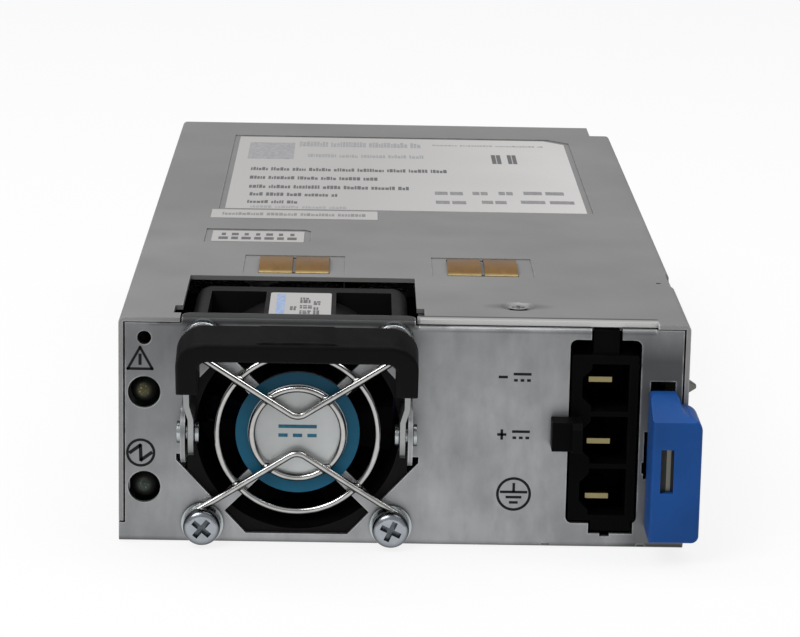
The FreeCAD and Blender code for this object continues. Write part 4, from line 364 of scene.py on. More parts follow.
def dressed_copy(node, use, edge, segments=2, dimple=None):
    """Merged copy of a CAD piece with its hard edges rounded, which stands in for it."""
    bm = bmesh.new()
    bm.from_mesh(frame["nodes"][node].data)
    bmesh.ops.remove_doubles(bm, verts=bm.verts, dist=MERGE)
    bmesh.ops.dissolve_limit(bm, angle_limit=FLAT_ANGLE, verts=bm.verts, edges=bm.edges)
    smooth_by_angle(bm)
    if dimple:
        crease_dimple(bm, dimple)
    piece = new_piece(bm, node + "_dressed", [finish(use)])
    bevel = piece.modifiers.new("Rounded edges", "BEVEL")
    bevel.width = edge
    bevel.segments = segments
    bevel.limit_method = "ANGLE"
    bevel.angle_limit = EDGE_ANGLE
    bevel.use_clamp_overlap = True
    bevel.harden_normals = True
    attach(piece, frame["nodes"][node]["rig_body"])
    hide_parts(node)
    return piece


def refinish(piece, use, chosen):
    """Gives the faces whose centres pass a test the finish for another use."""
    piece.data.materials.append(finish(use))
    for face in piece.data.polygons:
        if chosen(face.center):
            face.material_index = 1


def give(node, use):
    """Puts the finish for a use on a CAD node's own slots."""
    for slot in frame["nodes"][node].material_slots:
        slot.material = finish(use)


def give_own(*nodes):
    """Puts the finish named like its material slot on each CAD node."""
    for node in nodes:
        give(node, slot_name(node))


def outward(bm):
    bmesh.ops.remove_doubles(bm, verts=bm.verts, dist=MERGE)
    bmesh.ops.recalc_face_normals(bm, faces=bm.faces)


def add_box(bm, centre, size, turn=Matrix.Identity(4)):
    matrix = Matrix.Translation(centre) @ turn @ Matrix.Diagonal((*size, 1.0))
    bmesh.ops.create_cube(bm, size=1.0, matrix=matrix)


def add_patch(bm, corner, top, across, along, width, depth):
    """Flat block of print on a label, its middle and size in millimetres from the label's corner."""
    add_box(bm, (corner.x + across * MM, corner.y + along * MM, top + PRINT_HEIGHT / 2),
            (width * MM, depth * MM, PRINT_HEIGHT))


def add_words(bm, rng, row, corner, top):
    """One row of print as separate strokes, with gaps between the words."""
    start, end, low, height, short, long = row
    x = start
    left_in_word = rng.uniform(short, long) * WORD_STRETCH
    while x < end:
        width = rng.uniform(*STROKE_WIDTHS)
        tall = height * rng.choice(STROKE_HEIGHTS)
        add_patch(bm, corner, top, x + width / 2, low + tall / 2, width, tall)
        x += width + STROKE_GAP
        left_in_word -= width + STROKE_GAP
        if left_in_word < 0:
            x += WORD_GAP
            left_in_word = rng.uniform(short, long) * WORD_STRETCH


def add_stroke(bm, start, end, thick=1.0):
    """Flat bar on the front panel between two (x, z) points, some strokes thick."""
    s = sizes()
    width = s.stroke * thick
    a = Vector((start[0], PANEL_Y, start[1]))
    b = Vector((end[0], PANEL_Y, end[1]))
    run = b - a
    centre = (a + b) / 2
    centre.y = PANEL_Y - s.ink / 2
    add_box(bm, centre, (run.length + width * STROKE_OVERLAP, s.ink, width),
            Matrix.Rotation(-math.atan2(run.z, run.x), 4, "Y"))


def add_dot(bm, place):
    """Round end that closes a corner between two strokes."""
    s = sizes()
    radius = s.stroke * DOT_RADIUS
    centre = Matrix.Translation((place[0], PANEL_Y - s.ink / 2, place[1]))
    bmesh.ops.create_cone(bm, cap_ends=True, segments=DOT_STEPS, radius1=radius, radius2=radius,
                          depth=s.ink, matrix=centre @ Matrix.Rotation(math.pi / 2, 4, "X"))


def add_ring_mark(bm, x, z, radius):
    """Flat ring on the front panel, its cross section turned round an axis along Y."""
    s = sizes()
    inner = radius - s.stroke / 2
    outer = radius + s.stroke / 2
    corners = ((inner, 0), (outer, 0), (outer, -s.ink), (inner, -s.ink))
    verts = [bm.verts.new((x + r, PANEL_Y + y, z)) for r, y in corners]
    edges = [bm.edges.new(pair) for pair in zip(verts, verts[1:] + verts[:1])]
    bmesh.ops.spin(bm, geom=verts + edges, cent=(x, PANEL_Y, z), axis=(0, 1, 0), angle=math.tau,
                   steps=RING_STEPS, use_merge=True)


def add_fault_mark(bm):
    """Triangle outline with a plain bar inside."""
    s = sizes()
    x, z = FAULT_MARK
    half = s.triangle_width / 2
    low = z - s.triangle_height / 2
    high = z + s.triangle_height / 2
    corners = [(x - half, low), (x + half, low), (x, high)]
    for start, end in zip(corners, corners[1:] + corners[:1]):
        add_stroke(bm, start, end)
        add_dot(bm, end)
    start, end = (low + share * s.triangle_height for share in FAULT_BAR)
    add_stroke(bm, (x, start), (x, end), FAULT_BAR_WIDTH)


def add_power_mark(bm):
    """Ring with a zigzag."""
    x, z = POWER_MARK
    r = sizes().circle_radius
    add_ring_mark(bm, x, z, r)
    points = [(x + r * across, z + r * up) for across, up in ZIGZAG]
    for start, end in zip(points, points[1:]):
        add_stroke(bm, start, end, ZIGZAG_WIDTH)


def add_pole_marks(bm):
    """Minus and plus beside the inlet, each before a direct-current mark."""
    half = sizes().pole_size / 2
    for z in (MINUS_Z, PLUS_Z):
        add_stroke(bm, (POLE_X - half, z), (POLE_X + half, z))
        add_stroke(bm, (DC_X - DC_BAR, z + DC_RISE), (DC_X + DC_BAR, z + DC_RISE))
        for step in (-1, 0, 1):
            middle = DC_X + step * DC_PITCH
            add_stroke(bm, (middle - DC_DASH, z - DC_RISE), (middle + DC_DASH, z - DC_RISE))
    half *= PLUS_STRETCH
    add_stroke(bm, (POLE_X, PLUS_Z - half), (POLE_X, PLUS_Z + half))


def add_earth_mark(bm):
    """Ring with the earth lines inside."""
    x, z = EARTH_MARK
    r = sizes().earth_radius
    add_ring_mark(bm, x, z, r)
    start, end = (z + r * share for share in EARTH_STEM)
    add_stroke(bm, (x, start), (x, end))
    for rise, half in EARTH_LINES:
        add_stroke(bm, (x - r * half, z + r * rise), (x + r * half, z + r * rise))


def add_disc_mark(bm, y):
    """Direct-current mark in the middle of the round sticker: a bar over three dashes."""
    for start, end, z in DISC_STROKES:
        add_box(bm, (FAN_X + (start + end) / 2 * MM, y - PRINT_HEIGHT / 2, FAN_Z + z * MM),
                ((end - start) * MM, PRINT_HEIGHT, DISC_STROKE * MM))


def add_weld(bm, x, z):
    """Small flattened bead in the corner between a bent wire and a ring."""
    columns, rows = WELD_STEPS
    bmesh.ops.create_uvsphere(bm, u_segments=columns, v_segments=rows, radius=sizes().weld_radius,
                              matrix=Matrix.Translation((x, WELD_Y, z)) @ Matrix.Diagonal(WELD_SHAPE))
    for face in bm.faces:
        face.smooth = True


# Shader nodes

def tone(tint, *factors):
    """A tint times one factor, or one for each channel, as a shader's colour."""
    if len(factors) == 1:
        factors = factors * 3
    return (*(min(1.0, value * factor) for value, factor in zip(tint, factors)), 1.0)


class Wiring:
    """Short calls to place and join the nodes of one tree."""

    def __init__(self, tree):
        self.tree = tree

    def node(self, kind, inputs=None, **settings):
        """New node with its settings, its inputs fed with values or with other nodes' outputs."""
        node = self.tree.nodes.new(kind)
        for key, value in settings.items():
            setattr(node, key, value)
        self.feed(node, inputs or {})
        return node

    def feed(self, node, inputs):
        for key, value in inputs.items():
            if isinstance(value, bpy.types.NodeSocket):
                self.tree.links.new(value, node.inputs[key])
            else:
                node.inputs[key].default_value = value

    def math(self, operation, first, second=0.0, clamp=False):
        settings = {"operation": operation, "use_clamp": clamp}
        return self.node("ShaderNodeMath", {0: first, 1: second}, **settings).outputs[0]

    def times(self, first, second):
        return self.math("MULTIPLY", first, second)

    def plus(self, first, second, clamp=False):
        return self.math("ADD", first, second, clamp)

    def minus(self, first, second):
        return self.math("SUBTRACT", first, second)

    def radius(self, first, second):
        """Distance from the axis on which both values are zero."""
        return self.math("SQRT", self.plus(self.times(first, first), self.times(second, second)))

    def spread(self, value, low, high, out_low=0.0, out_high=1.0):
        inputs = {"Value": value, "From Min": low, "From Max": high, "To Min": out_low, "To Max": out_high}
        return self.node("ShaderNodeMapRange", inputs).outputs[0]

    def grained(self, noise, low=0.0, high=1.0):
        """Noise over a new range, as most of it lies between 0.3 and 0.7."""
        return self.spread(noise, 0.3, 0.7, low, high)

    def between(self, value, places):
        """Mask that rises between the first two places and falls between the last two."""
        start, full, fade, end = places
        return self.times(self.spread(value, start, full), self.spread(value, end, fade))

    def mix(self, factor, first, second):
        return self.node("ShaderNodeMix", {0: factor, 6: first, 7: second}, data_type="RGBA").outputs[2]

    def shades(self, mask, tint, low, high):
        """A tint that a mask varies between two brightnesses."""
        return self.mix(mask, tone(tint, low), tone(tint, high))

    def layer(self, base, tint, *layers):
        """Lays tones of a tint over a colour, each given as its mask and its brightness."""
        for mask, factor in layers:
            base = self.mix(mask, base, tone(tint, factor))
        return base

    def place(self, stretch=(1.0, 1.0, 1.0), move=(0.0, 0.0, 0.0)):
        """Object coordinates, stretched and moved."""
        coordinates = self.node("ShaderNodeTexCoord").outputs["Object"]
        inputs = {"Scale": stretch, "Location": move, "Vector": coordinates}
        return self.node("ShaderNodeMapping", inputs).outputs[0]

    def axes(self, vector=None):
        """X, Y and Z of a vector, or of the place on the piece."""
        return self.node("ShaderNodeSeparateXYZ", {0: vector or self.place()}).outputs

    def facing(self):
        """X, Y and Z of the direction that the surface faces."""
        return self.axes(self.node("ShaderNodeNewGeometry").outputs["Normal"])

    def noise(self, scale, detail, roughness, *stretch_and_move):
        """Noise over the place on the piece."""
        place = self.place(*stretch_and_move)
        inputs = {"Vector": place, "Scale": scale, "Detail": detail, "Roughness": roughness}
        return self.node("ShaderNodeTexNoise", inputs).outputs["Fac"]

    def group(self, name, **values):
        """Places a shared group with its own values."""
        inputs = {key.replace("_", " "): value for key, value in values.items()}
        return self.node("ShaderNodeGroup", inputs, node_tree=shared(name)).outputs


def sheet_grain(w, given):
    """Rolled grain, crystal blotches and handling marks of coated sheet steel."""
    grain = w.noise(given["Grain scale"], 4.0, 0.6, (0.12, 1.0, 1.0))
    inputs = {"Vector": w.place(), "Scale": w.times(given["Blotch scale"], 2.2)}
    cells = w.node("ShaderNodeTexVoronoi", inputs, feature="SMOOTH_F1")
    clouds = w.noise(given["Blotch scale"], 5.0, 0.62)
    blotch = w.plus(w.times(clouds, 0.75), w.times(cells.outputs["Distance"], 0.3))
    smudge = w.noise(26.0, 3.0, 0.45, (1.0, 0.55, 1.0), (0.3, 0.1, 0.7))
    return grain, blotch, w.spread(smudge, 0.42, 0.66)


def edge_wear_and_sheen(w, given):
    """Mask of wear and of painted sheen, high along a piece's outer edges, broken up by noise."""
    rounded = w.node("ShaderNodeBevel", {"Radius": given["Reach"]}, samples=4)
    surface = w.node("ShaderNodeNewGeometry")
    normals = {0: rounded.outputs["Normal"], 1: surface.outputs["Normal"]}
    dot = w.node("ShaderNodeVectorMath", normals, operation="DOT_PRODUCT")
    edge = w.spread(dot.outputs["Value"], 0.985, 0.80)
    patches = w.spread(w.noise(given["Breakup"], 3.0, 0.6), 0.35, 0.62)
    return (w.math("MULTIPLY", edge, patches, True),)


def painted_crevice_shade(w, given):
    """Mask of painted shade, high in grooves, gaps and inner corners where the ambient occlusion is low."""
    shadow = w.node("ShaderNodeAmbientOcclusion", {"Distance": given["Reach"]}, samples=6)
    return (w.spread(shadow.outputs["AO"], 0.80, 0.35),)


def underside_shade(w, given):
    """Mask that is high on faces that look down, for the painted shade of a bright metal that mirrors dark
    surroundings below it.
    """
    return (w.spread(w.facing()["Z"], given["Start"], -0.65),)


def front(w, given):
    """Value that is 1 on faces turned to the panel's front and falls to 0 on their sides."""
    return (w.spread(w.facing()["Y"], given["Start"], -0.92),)


def moulded_grain(w, given):
    """Fine sparked texture of a moulded surface, with a faint cloudiness."""
    height = w.noise(given["Grain scale"], 2.0, 0.6)
    return height, w.grained(w.noise(110.0, 3.0, 0.5))


def dust(w, given):
    """Pale dust that settles on faces that look up."""
    up = w.spread(w.facing()["Z"], 0.2, 0.95)
    glints = w.spread(w.noise(420.0, 4.0, 0.7), 0.40, 0.75)
    return (w.times(w.times(up, glints), given["Amount"]),)


def window_shadow(w, given):
    """Mask of the walls that show, in deep shadow, through the panel's window above the latch pad."""
    place = w.axes()
    level = w.times(w.between(place["X"], WINDOW_X), w.between(place["Y"], WINDOW_Y))
    return (w.times(w.times(level, w.between(place["Z"], WINDOW_Z)), given["Amount"]),)


# Shared groups: what builds each, its inputs with their defaults, and its outputs

GROUPS = {
    "Sheet grain": (sheet_grain, {"Grain scale": 900.0, "Blotch scale": 70.0}, ("Grain", "Blotch", "Smudge")),
    "Edge wear and sheen": (edge_wear_and_sheen, {"Reach": 0.0006, "Breakup": 300.0}, ("Mask",)),
    "Crevice shade": (painted_crevice_shade, {"Reach": 0.0008}, ("Mask",)),
    "Underside shade": (underside_shade, {"Start": 0.15}, ("Mask",)),
    "Front": (front, {"Start": -0.40}, ("Mask",)),
    "Moulded grain": (moulded_grain, {"Grain scale": 2600.0}, ("Height", "Cloud")),
    "Dust": (dust, {"Amount": 0.1}, ("Mask",)),
    "Window shadow": (window_shadow, {"Amount": 1.0}, ("Mask",)),
}


def shared(name):
    """Shared shader group, built the first time that a material asks for it."""
    if name not in bpy.data.node_groups:
        build, inputs, outputs = GROUPS[name]
        tree = bpy.data.node_groups.new(name, "ShaderNodeTree")
        for label, default in inputs.items():
            socket = tree.interface.new_socket(name=label, in_out="INPUT", socket_type="NodeSocketFloat")
            socket.default_value = default
        for label in outputs:
            tree.interface.new_socket(name=label, in_out="OUTPUT", socket_type="NodeSocketFloat")
        w = Wiring(tree)
        results = build(w, w.node("NodeGroupInput").outputs)
        w.node("NodeGroupOutput", dict(zip(outputs, results)))
    return bpy.data.node_groups[name]


def new_material(name):
    material = bpy.data.materials.new(name)
    material.use_nodes = True
    return material, Wiring(material.node_tree), material.node_tree.nodes["Principled BSDF"]


def settle(w, shader, base, rough, height, strength, metal=0.0, mirror=0.5, relief=FINE_RELIEF):
    """Feeds the shader's colour, gloss, metal and mirror strength, and raises its surface by a height."""
    bump = w.node("ShaderNodeBump", {"Strength": strength, "Distance": relief, "Height": height})
    w.feed(shader, {"Base Color": base, "Roughness": rough, "Metallic": metal,
                    "Specular IOR Level": mirror, "Normal": bump.outputs["Normal"]})


def painted_panel_shade(w):
    """Painted shade near the front's sides, up its height and along its lower edge, and the painted shadow of
    the inlet on the panel to its right.
    """
    place = w.axes()
    left = w.spread(place["X"], *LEFT_SHADE, 0.0, 0.30)
    right = w.spread(place["X"], *RIGHT_SHADE, 0.0, 0.26)
    # Painted shadow of the inlet, on the panel to its right
    corner = w.times(w.spread(place["X"], *INLET_SHADOW_X, 0.0, 0.40), w.spread(place["Z"], *INLET_SHADOW_Z))
    upper = w.spread(place["Z"], *UPPER_SHADE, 0.0, 0.24)
    lower_edge_shade = w.spread(place["Z"], *FOOT_SHADE, 0.0, 0.45)
    return w.plus(w.plus(w.plus(left, right), corner), w.plus(upper, lower_edge_shade), True)


def fold_shadow(w):
    """Mask of the fold between the fan and the handle, which mirrors the black pieces round it."""
    place = w.axes()
    near = w.spread(w.math("ABSOLUTE", w.minus(place["X"], FAN_X)), *FOLD_SIDE)
    return w.times(w.times(w.spread(place["Z"], *FOLD_Z), near), 0.93)


def painted_front_highlight(w):
    """Masks of the painted highlight along the cover's front, right of the fan, and of the painted shadow in
    the gap behind it.
    """
    place = w.axes()
    beside = w.between(place["X"], FRONT_HIGHLIGHT_X)
    band = w.times(w.spread(place["Y"], *FRONT_HIGHLIGHT_Y), w.spread(place["Y"], *FRONT_HIGHLIGHT_RISE, 0.15, 1.0))
    gap_shadow = w.between(place["Y"], GAP_SHADOW_Y)
    return w.times(band, beside), w.times(w.times(gap_shadow, beside), 0.75)


def dimple_shade(w):
    """Mask of the shaded sheet on both sides of the cover screw, where it is pressed in."""
    place = w.axes()
    across = w.times(w.minus(place["X"], COVER_SCREW[0]), DIMPLE_STRETCH)
    return w.spread(w.radius(across, w.minus(place["Y"], COVER_SCREW[1])), *DIMPLE_RADIUS, 0.0, 0.55)


# Finishes: each wires one material's shader

def sheet_steel(w, shader, tint, metal, rough, contrast, blotch_scale, toned):
    """Coated sheet steel: rolled grain, soft blotches, dull handling marks, edges lightened by wear and
    painted sheen, and painted shade in its crevices.
    """
    grain = w.group("Sheet grain", Blotch_scale=blotch_scale)
    # Edges lightened by wear and by a painted sheen
    sheen_and_wear = w.group("Edge wear and sheen", Reach=SHEEN_AND_WEAR_REACH)["Mask"]
    # Painted shade in grooves, gaps and inner corners
    occlusion_shade = w.group("Crevice shade", Reach=OCCLUSION_SHADE_REACH)["Mask"]
    base = w.shades(w.spread(grain["Blotch"], 0.32, 0.78), tint, 1.0 - contrast, 1.0 + contrast)
    base = w.layer(base, tint, (w.times(grain["Smudge"], 0.26), 0.55))
    if toned:
        streaks = w.spread(w.noise(300.0, 4.0, 0.62, (1.0, 1.0, 0.28)), 0.42, 0.66)
        pale = w.spread(w.noise(150.0, 4.0, 0.6, (1.0, 1.0, 0.45), (0.6, 0.2, 0.1)), 0.50, 0.72)
        # Painted shade across the panel and the painted reflection of the black pieces in the fold
        base = w.layer(base, tint, (w.times(streaks, 0.24), 0.50), (w.times(pale, 0.30), 1.45),
                       (painted_panel_shade(w), 0.10), (fold_shadow(w), 0.06))
    else:
        # Painted highlight along the cover's front, painted shadow in the gap behind it, and painted shade
        # round the cover screw
        band, gap_shadow = painted_front_highlight(w)
        base = w.layer(w.mix(band, base, FRONT_HIGHLIGHT_TINT), tint, (gap_shadow, 0.10), (dimple_shade(w), 0.30))
    window = w.group("Window shadow", Amount=1.0)["Mask"]
    base = w.layer(base, tint, (w.times(sheen_and_wear, 0.6), 1.7), (w.times(occlusion_shade, 0.55), 0.25), (window, 0.02))
    gloss = w.plus(w.spread(grain["Blotch"], 0.3, 0.8, rough - 0.05, rough + 0.06),
                   w.times(grain["Smudge"], 0.06))
    settle(w, shader, base, w.minus(gloss, w.times(sheen_and_wear, 0.10)), grain["Grain"], 0.10, metal,
           relief=ROLLED_RELIEF)


def moulded(w, shader, tint, rough, edge_gain, strength=0.12, mirror=0.06):
    """Moulded plastic: fine sparked grain, cloudy gloss, and edges lightened by handling wear and by a
    painted sheen.
    """
    grain = w.group("Moulded grain")
    # Edges lightened by wear and by a painted sheen
    sheen_and_wear = w.group("Edge wear and sheen", Reach=SHEEN_AND_WEAR_REACH)["Mask"]
    dusty = w.group("Dust", Amount=0.010)["Mask"]
    base = w.layer(w.shades(grain["Cloud"], tint, 0.88, 1.12), tint, (w.times(sheen_and_wear, 0.5), edge_gain))
    gloss = w.minus(w.spread(grain["Cloud"], 0.0, 1.0, rough - 0.04, rough + 0.05), w.times(sheen_and_wear, 0.08))
    settle(w, shader, w.mix(dusty, base, DUST_TINT), gloss, grain["Height"], strength, mirror=mirror)


def bright_metal(w, shader, tint, rough, scale=420.0, contrast=0.12, below=0.55, rim=0.0):
    """Plated or bare bright metal: faint drawing marks, a little tarnish, and painted shade below and on its
    sides.
    """
    marks = w.noise(scale, 4.0, 0.6, (1.0, 0.3, 1.0))
    tarnish = w.spread(w.noise(160.0, 3.0, 0.5), 0.40, 0.72)
    # Painted shade on faces that look down
    under = w.group("Underside shade")["Mask"]
    base = w.layer(w.shades(marks, tint, 1.0 - contrast, 1.0 + contrast), tint,
                   (w.times(tarnish, 0.25), 0.55), (w.times(under, below), 0.12))
    # Painted shade on the sides turned away from the front, as strong as rim
    if rim:
        sides = w.spread(w.group("Front")["Mask"], 0.95, 0.30, 0.0, rim)
        base = w.layer(base, tint, (sides, 0.04))
    settle(w, shader, base, w.grained(marks, rough - 0.04, rough + 0.07), marks, 0.06, 1.0)


def spring_metal(w, shader, tint):
    """Copper leaf: drawing marks, tarnish from heat and a painted highlight along its front edge."""
    marks = w.noise(500.0, 4.0, 0.6, (1.0, 0.3, 1.0))
    heat = w.spread(w.noise(190.0, 3.0, 0.55), 0.42, 0.70)
    # Painted highlight along the springs' front edge
    edge_highlight = w.spread(w.axes()["Y"], *COPPER_HIGHLIGHT_Y, 0.0, 0.6)
    base = w.mix(w.times(heat, 0.35), w.shades(marks, tint, 0.85, 1.15), tone(tint, 0.75, 0.50, 0.6))
    base = w.mix(edge_highlight, base, COPPER_HIGHLIGHT_TINT)
    settle(w, shader, base, w.grained(marks, 0.26, 0.37), marks, 0.06, 1.0)


def strip_metal(w, shader, tint):
    """Dull sprung steel, lost in shadow where it shows through the panel's window."""
    marks = w.noise(500.0, 4.0, 0.6, (1.0, 1.0, 0.15))
    window = w.group("Window shadow", Amount=1.0)["Mask"]
    base = w.layer(w.shades(marks, tint, 0.75, 1.3), tint, (window, 0.02))
    settle(w, shader, base, w.grained(marks, 0.34, 0.46), marks, 0.06, 1.0)


def chrome_wire(w, shader, tint):
    """Plated wire with painted highlights along its front and upper side, and painted shade along its
    underside and other sides.
    """
    marks = w.noise(500.0, 3.0, 0.55)
    facing = w.facing()
    # Painted highlight where the wire faces the front
    core = w.spread(facing["Y"], -0.66, -0.94, 0.0, 0.50)
    upper_highlight = w.between(facing["Z"], (0.30, 0.52, 0.74, 0.92))
    # Painted shade along the wire's underside
    low = w.spread(facing["Z"], -0.25, -0.50, 0.0, -0.30)
    light = w.plus(w.math("MAXIMUM", core, upper_highlight), low, True)
    light = w.plus(light, w.grained(marks, -0.07, 0.07), True)
    base = w.shades(light, tint, 0.035, 1.0)
    settle(w, shader, base, w.grained(marks, 0.11, 0.18), marks, 0.05, 1.0)


def plain_finish(w, shader, tint, rough, metal=0.0, scale=600.0, contrast=0.15, strength=0.08, mirror=0.5):
    """Finish of pieces that show little: one tint with grain in its colour, gloss and height."""
    grain = w.noise(scale, 4.0, 0.6)
    base = w.shades(w.grained(grain), tint, 1.0 - contrast, 1.0 + contrast)
    settle(w, shader, base, w.grained(grain, rough - 0.05, rough + 0.05), grain, strength, metal,
           mirror, ROLLED_RELIEF)


def ink(w, shader, tint):
    """Screen-printed ink with a slightly uneven colour and gloss."""
    plain_finish(w, shader, tint, 0.55, 0.0, 1200.0, 0.25, 0.04, 0.2)


def label_paper(w, shader, tint):
    """Coated label paper: faint fibre, painted shade towards its left end, and a soft yellowing."""
    fibre = w.noise(1500.0, 3.0, 0.6)
    aged = w.spread(w.noise(40.0, 2.0, 0.5), 0.35, 0.7)
    base = w.shades(w.spread(w.axes()["X"], *PAPER_SHADE_X), tint, 0.90, 1.24)
    base = w.layer(base, tint, (w.times(fibre, 0.3), 0.88))
    base = w.mix(w.times(aged, 0.22), base, tone(tint, 0.94, 0.91, 0.85))
    settle(w, shader, base, 0.55, fibre, 0.05)


def round_sticker(w, shader, ring_tint, disc_tint):
    """Satin sticker: a coloured ring round a silver disc, divided by its distance from the fan's axis."""
    place = w.axes()
    x = w.minus(place["X"], FAN_X)
    z = w.minus(place["Z"], FAN_Z)
    radius = w.radius(x, z)
    outside = w.spread(radius, *RING_EDGE)
    film = w.noise(900.0, 3.0, 0.55)
    cloud = w.grained(w.noise(120.0, 3.0, 0.5))
    disc = w.shades(cloud, disc_tint, 0.9, 1.1)
    # Painted shade over the disc's upper left
    slant_shade = w.spread(w.minus(x, z), -0.009, 0.009)
    disc = w.mix(slant_shade, w.layer(disc, disc_tint, (0.30, 0.2)), disc)
    disc = w.layer(disc, disc_tint, (w.between(radius, HAIRLINE), 1.5))
    ring = w.shades(cloud, ring_tint, 0.88, 1.12)
    # Painted shadow of the grip over the ring's top
    ring = w.layer(ring, ring_tint, (w.spread(z, *RING_TOP_SHADOW, 0.0, 0.65), 0.15))
    settle(w, shader, w.mix(outside, disc, ring), w.grained(film, 0.30, 0.38), film, 0.04,
           w.spread(outside, 0.0, 1.0, 0.55, 0.0), 0.12)


def lamp_lens(w, shader, tint, centre):
    """Dim lamp: a small painted glow with painted glints, which sinks into a dark body."""
    place = w.axes()
    radius = w.radius(w.minus(place["X"], centre[0] - 0.3 * MM), w.minus(place["Z"], centre[2] + 0.1 * MM))
    rim = w.spread(radius, *GLOW_EDGE)
    cloud = w.noise(900.0, 3.0, 0.6)
    glints = w.spread(w.noise(2400.0, 2.0, 0.6, (1.0, 1.0, 1.4)), 0.60, 0.70)
    # Painted glow in the middle, with painted glints
    core = w.layer(w.shades(cloud, tint, 0.5, 1.4), tint, (w.times(glints, w.minus(1.0, rim)), 6.0))
    settle(w, shader, w.mix(rim, core, LAMP_BODY), w.spread(rim, 0.0, 1.0, 0.25, 0.7), cloud, 0.05,
           mirror=0.3)


def sizes():
    return bpy.context.scene.power_module_sizes


def finishes():
    """For each use, what wires its finish, its tint and its other values in that function's order."""
    c = bpy.context.scene.power_module_colours
    return {
        "case_steel": (sheet_steel, c.panel, 0.80, 0.40, 0.20, 90.0, True),
        "cover_steel": (sheet_steel, c.cover, 0.55, 0.50, 0.05, 45.0, False),
        "guard_wire": (chrome_wire, c.wire),
        "zinc": (bright_metal, c.zinc, 0.22, 420.0, 0.12, 0.6, 0.8),
        "dull_strip": (strip_metal, (0.15, 0.15, 0.13)),
        "handle_zinc": (bright_metal, (0.40, 0.41, 0.41), 0.28),
        "screw_zinc": (bright_metal, (0.42, 0.45, 0.49), 0.24, 700.0, 0.25, 0.55, 0.85),
        "dimple_zinc": (bright_metal, (0.75, 0.76, 0.76), 0.20, 900.0, 0.5, 0.2),
        "slot_shadow": (plain_finish, (0.004, 0.004, 0.005), 0.6),
        "recess_shade": (bright_metal, (0.12, 0.14, 0.155), 0.28, 1600.0, 0.8),
        "black_plastic": (moulded, c.grip, 0.44, 6.0, 0.12, 0.045),
        "inlet_plastic": (moulded, tone(c.grip, 0.45)[:3], 0.46, 2.4, 0.12, 0.03),
        "fan_plastic": (moulded, c.fan, 0.40, 2.0),
        "rotor_plastic": (moulded, tone(c.fan, 0.7)[:3], 0.46, 1.5),
        "blue_plastic": (moulded, c.pad, 0.42, 1.5, 0.10, 0.10),
        "label_paper": (label_paper, c.paper),
        "sticker_film": (round_sticker, c.ring, c.disc),
        "amber_lens": (lamp_lens, (0.060, 0.056, 0.020), FAULT_LAMP),
        "green_lens": (lamp_lens, (0.024, 0.034, 0.026), POWER_LAMP),
        "contact_copper": (spring_metal, c.copper),
        "brass": (bright_metal, c.blade, 0.36),
        "contact_gold": (bright_metal, (0.75, 0.52, 0.16), 0.22),
        "copper": (bright_metal, (0.55, 0.24, 0.12), 0.32),
        "core_steel": (plain_finish, (0.20, 0.20, 0.21), 0.45, 0.9),
        "liner_film": (plain_finish, (0.38, 0.33, 0.20), 0.35),
        "board_laminate": (plain_finish, (0.012, 0.085, 0.035), 0.34, 0.0, 900.0, 0.2),
        "can_sleeve": (plain_finish, (0.02, 0.025, 0.05), 0.30),
        "ferrite": (plain_finish, (0.035, 0.035, 0.036), 0.62, 0.0, 1400.0, 0.3, 0.25),
        "winding_tape": (plain_finish, (0.55, 0.42, 0.04), 0.38),
        "sink_aluminium": (plain_finish, (0.55, 0.56, 0.57), 0.38, 0.95),
        "panel_print": (ink, c.print),
        "sticker_print": (ink, (0.03, 0.16, 0.24)),
        "label_print": (ink, (0.13, 0.13, 0.135)),
        "faint_print": (ink, (0.32, 0.32, 0.33)),
        "strip_print": (ink, (0.24, 0.24, 0.245)),
        "blue_print": (ink, (0.30, 0.38, 0.55)),
    }


def finish(use):
    """Material for this use, made the first time that a piece asks for it."""
    title = use.replace("_", " ").capitalize()
    if title not in bpy.data.materials:
        wire_up, *values = finishes()[use]
        wire_up(*new_material(title)[1:], *values)
    return bpy.data.materials[title]


# Operators, one for each piece or group of like pieces

class POWER_OT_case(bpy.types.Operator):
    """Tray and top cover with rounded cut edges and coated steel"""
    bl_idname = "power_module.case"
    bl_label = "Case"

    def execute(self, context):
        s = sizes()
        dressed_copy("tray", "case_steel", s.sheet_edge)
        dressed_copy("top_cover", "cover_steel", s.sheet_edge, dimple=COVER_SCREW)
        return {"FINISHED"}


class POWER_OT_fan(bpy.types.Operator):
    """Fan frame, wheel, motor and the label on the fan's top"""
    bl_idname = "power_module.fan"
    bl_label = "Fan"

    def execute(self, context):
        dressed_copy("fan_housing", "fan_plastic", sizes().moulded_edge)
        give_own("fan_rotor", "fan_shaft", "fan_bearing", "fan_stator_core", "fan_stator_coils", "fan_label")
        rng = random.Random(9)
        low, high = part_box("fan_label")
        grey = bmesh.new()
        for start, end, base, tall in FAN_LABEL_COLUMNS:
            for rise, height in FAN_LABEL_ROWS:
                add_words(grey, rng, (start, end, base + tall * rise, tall * height, 0.7, 1.6), low, high.z)
        add_to_case(grey, "fan_label_print", "label_print")
        blue = bmesh.new()
        depth = (high.y - low.y) / MM
        add_patch(blue, low, high.z, 1.9, depth / 2, 1.5, depth * 0.86)
        add_to_case(blue, "fan_label_band", "blue_print")
        return {"FINISHED"}


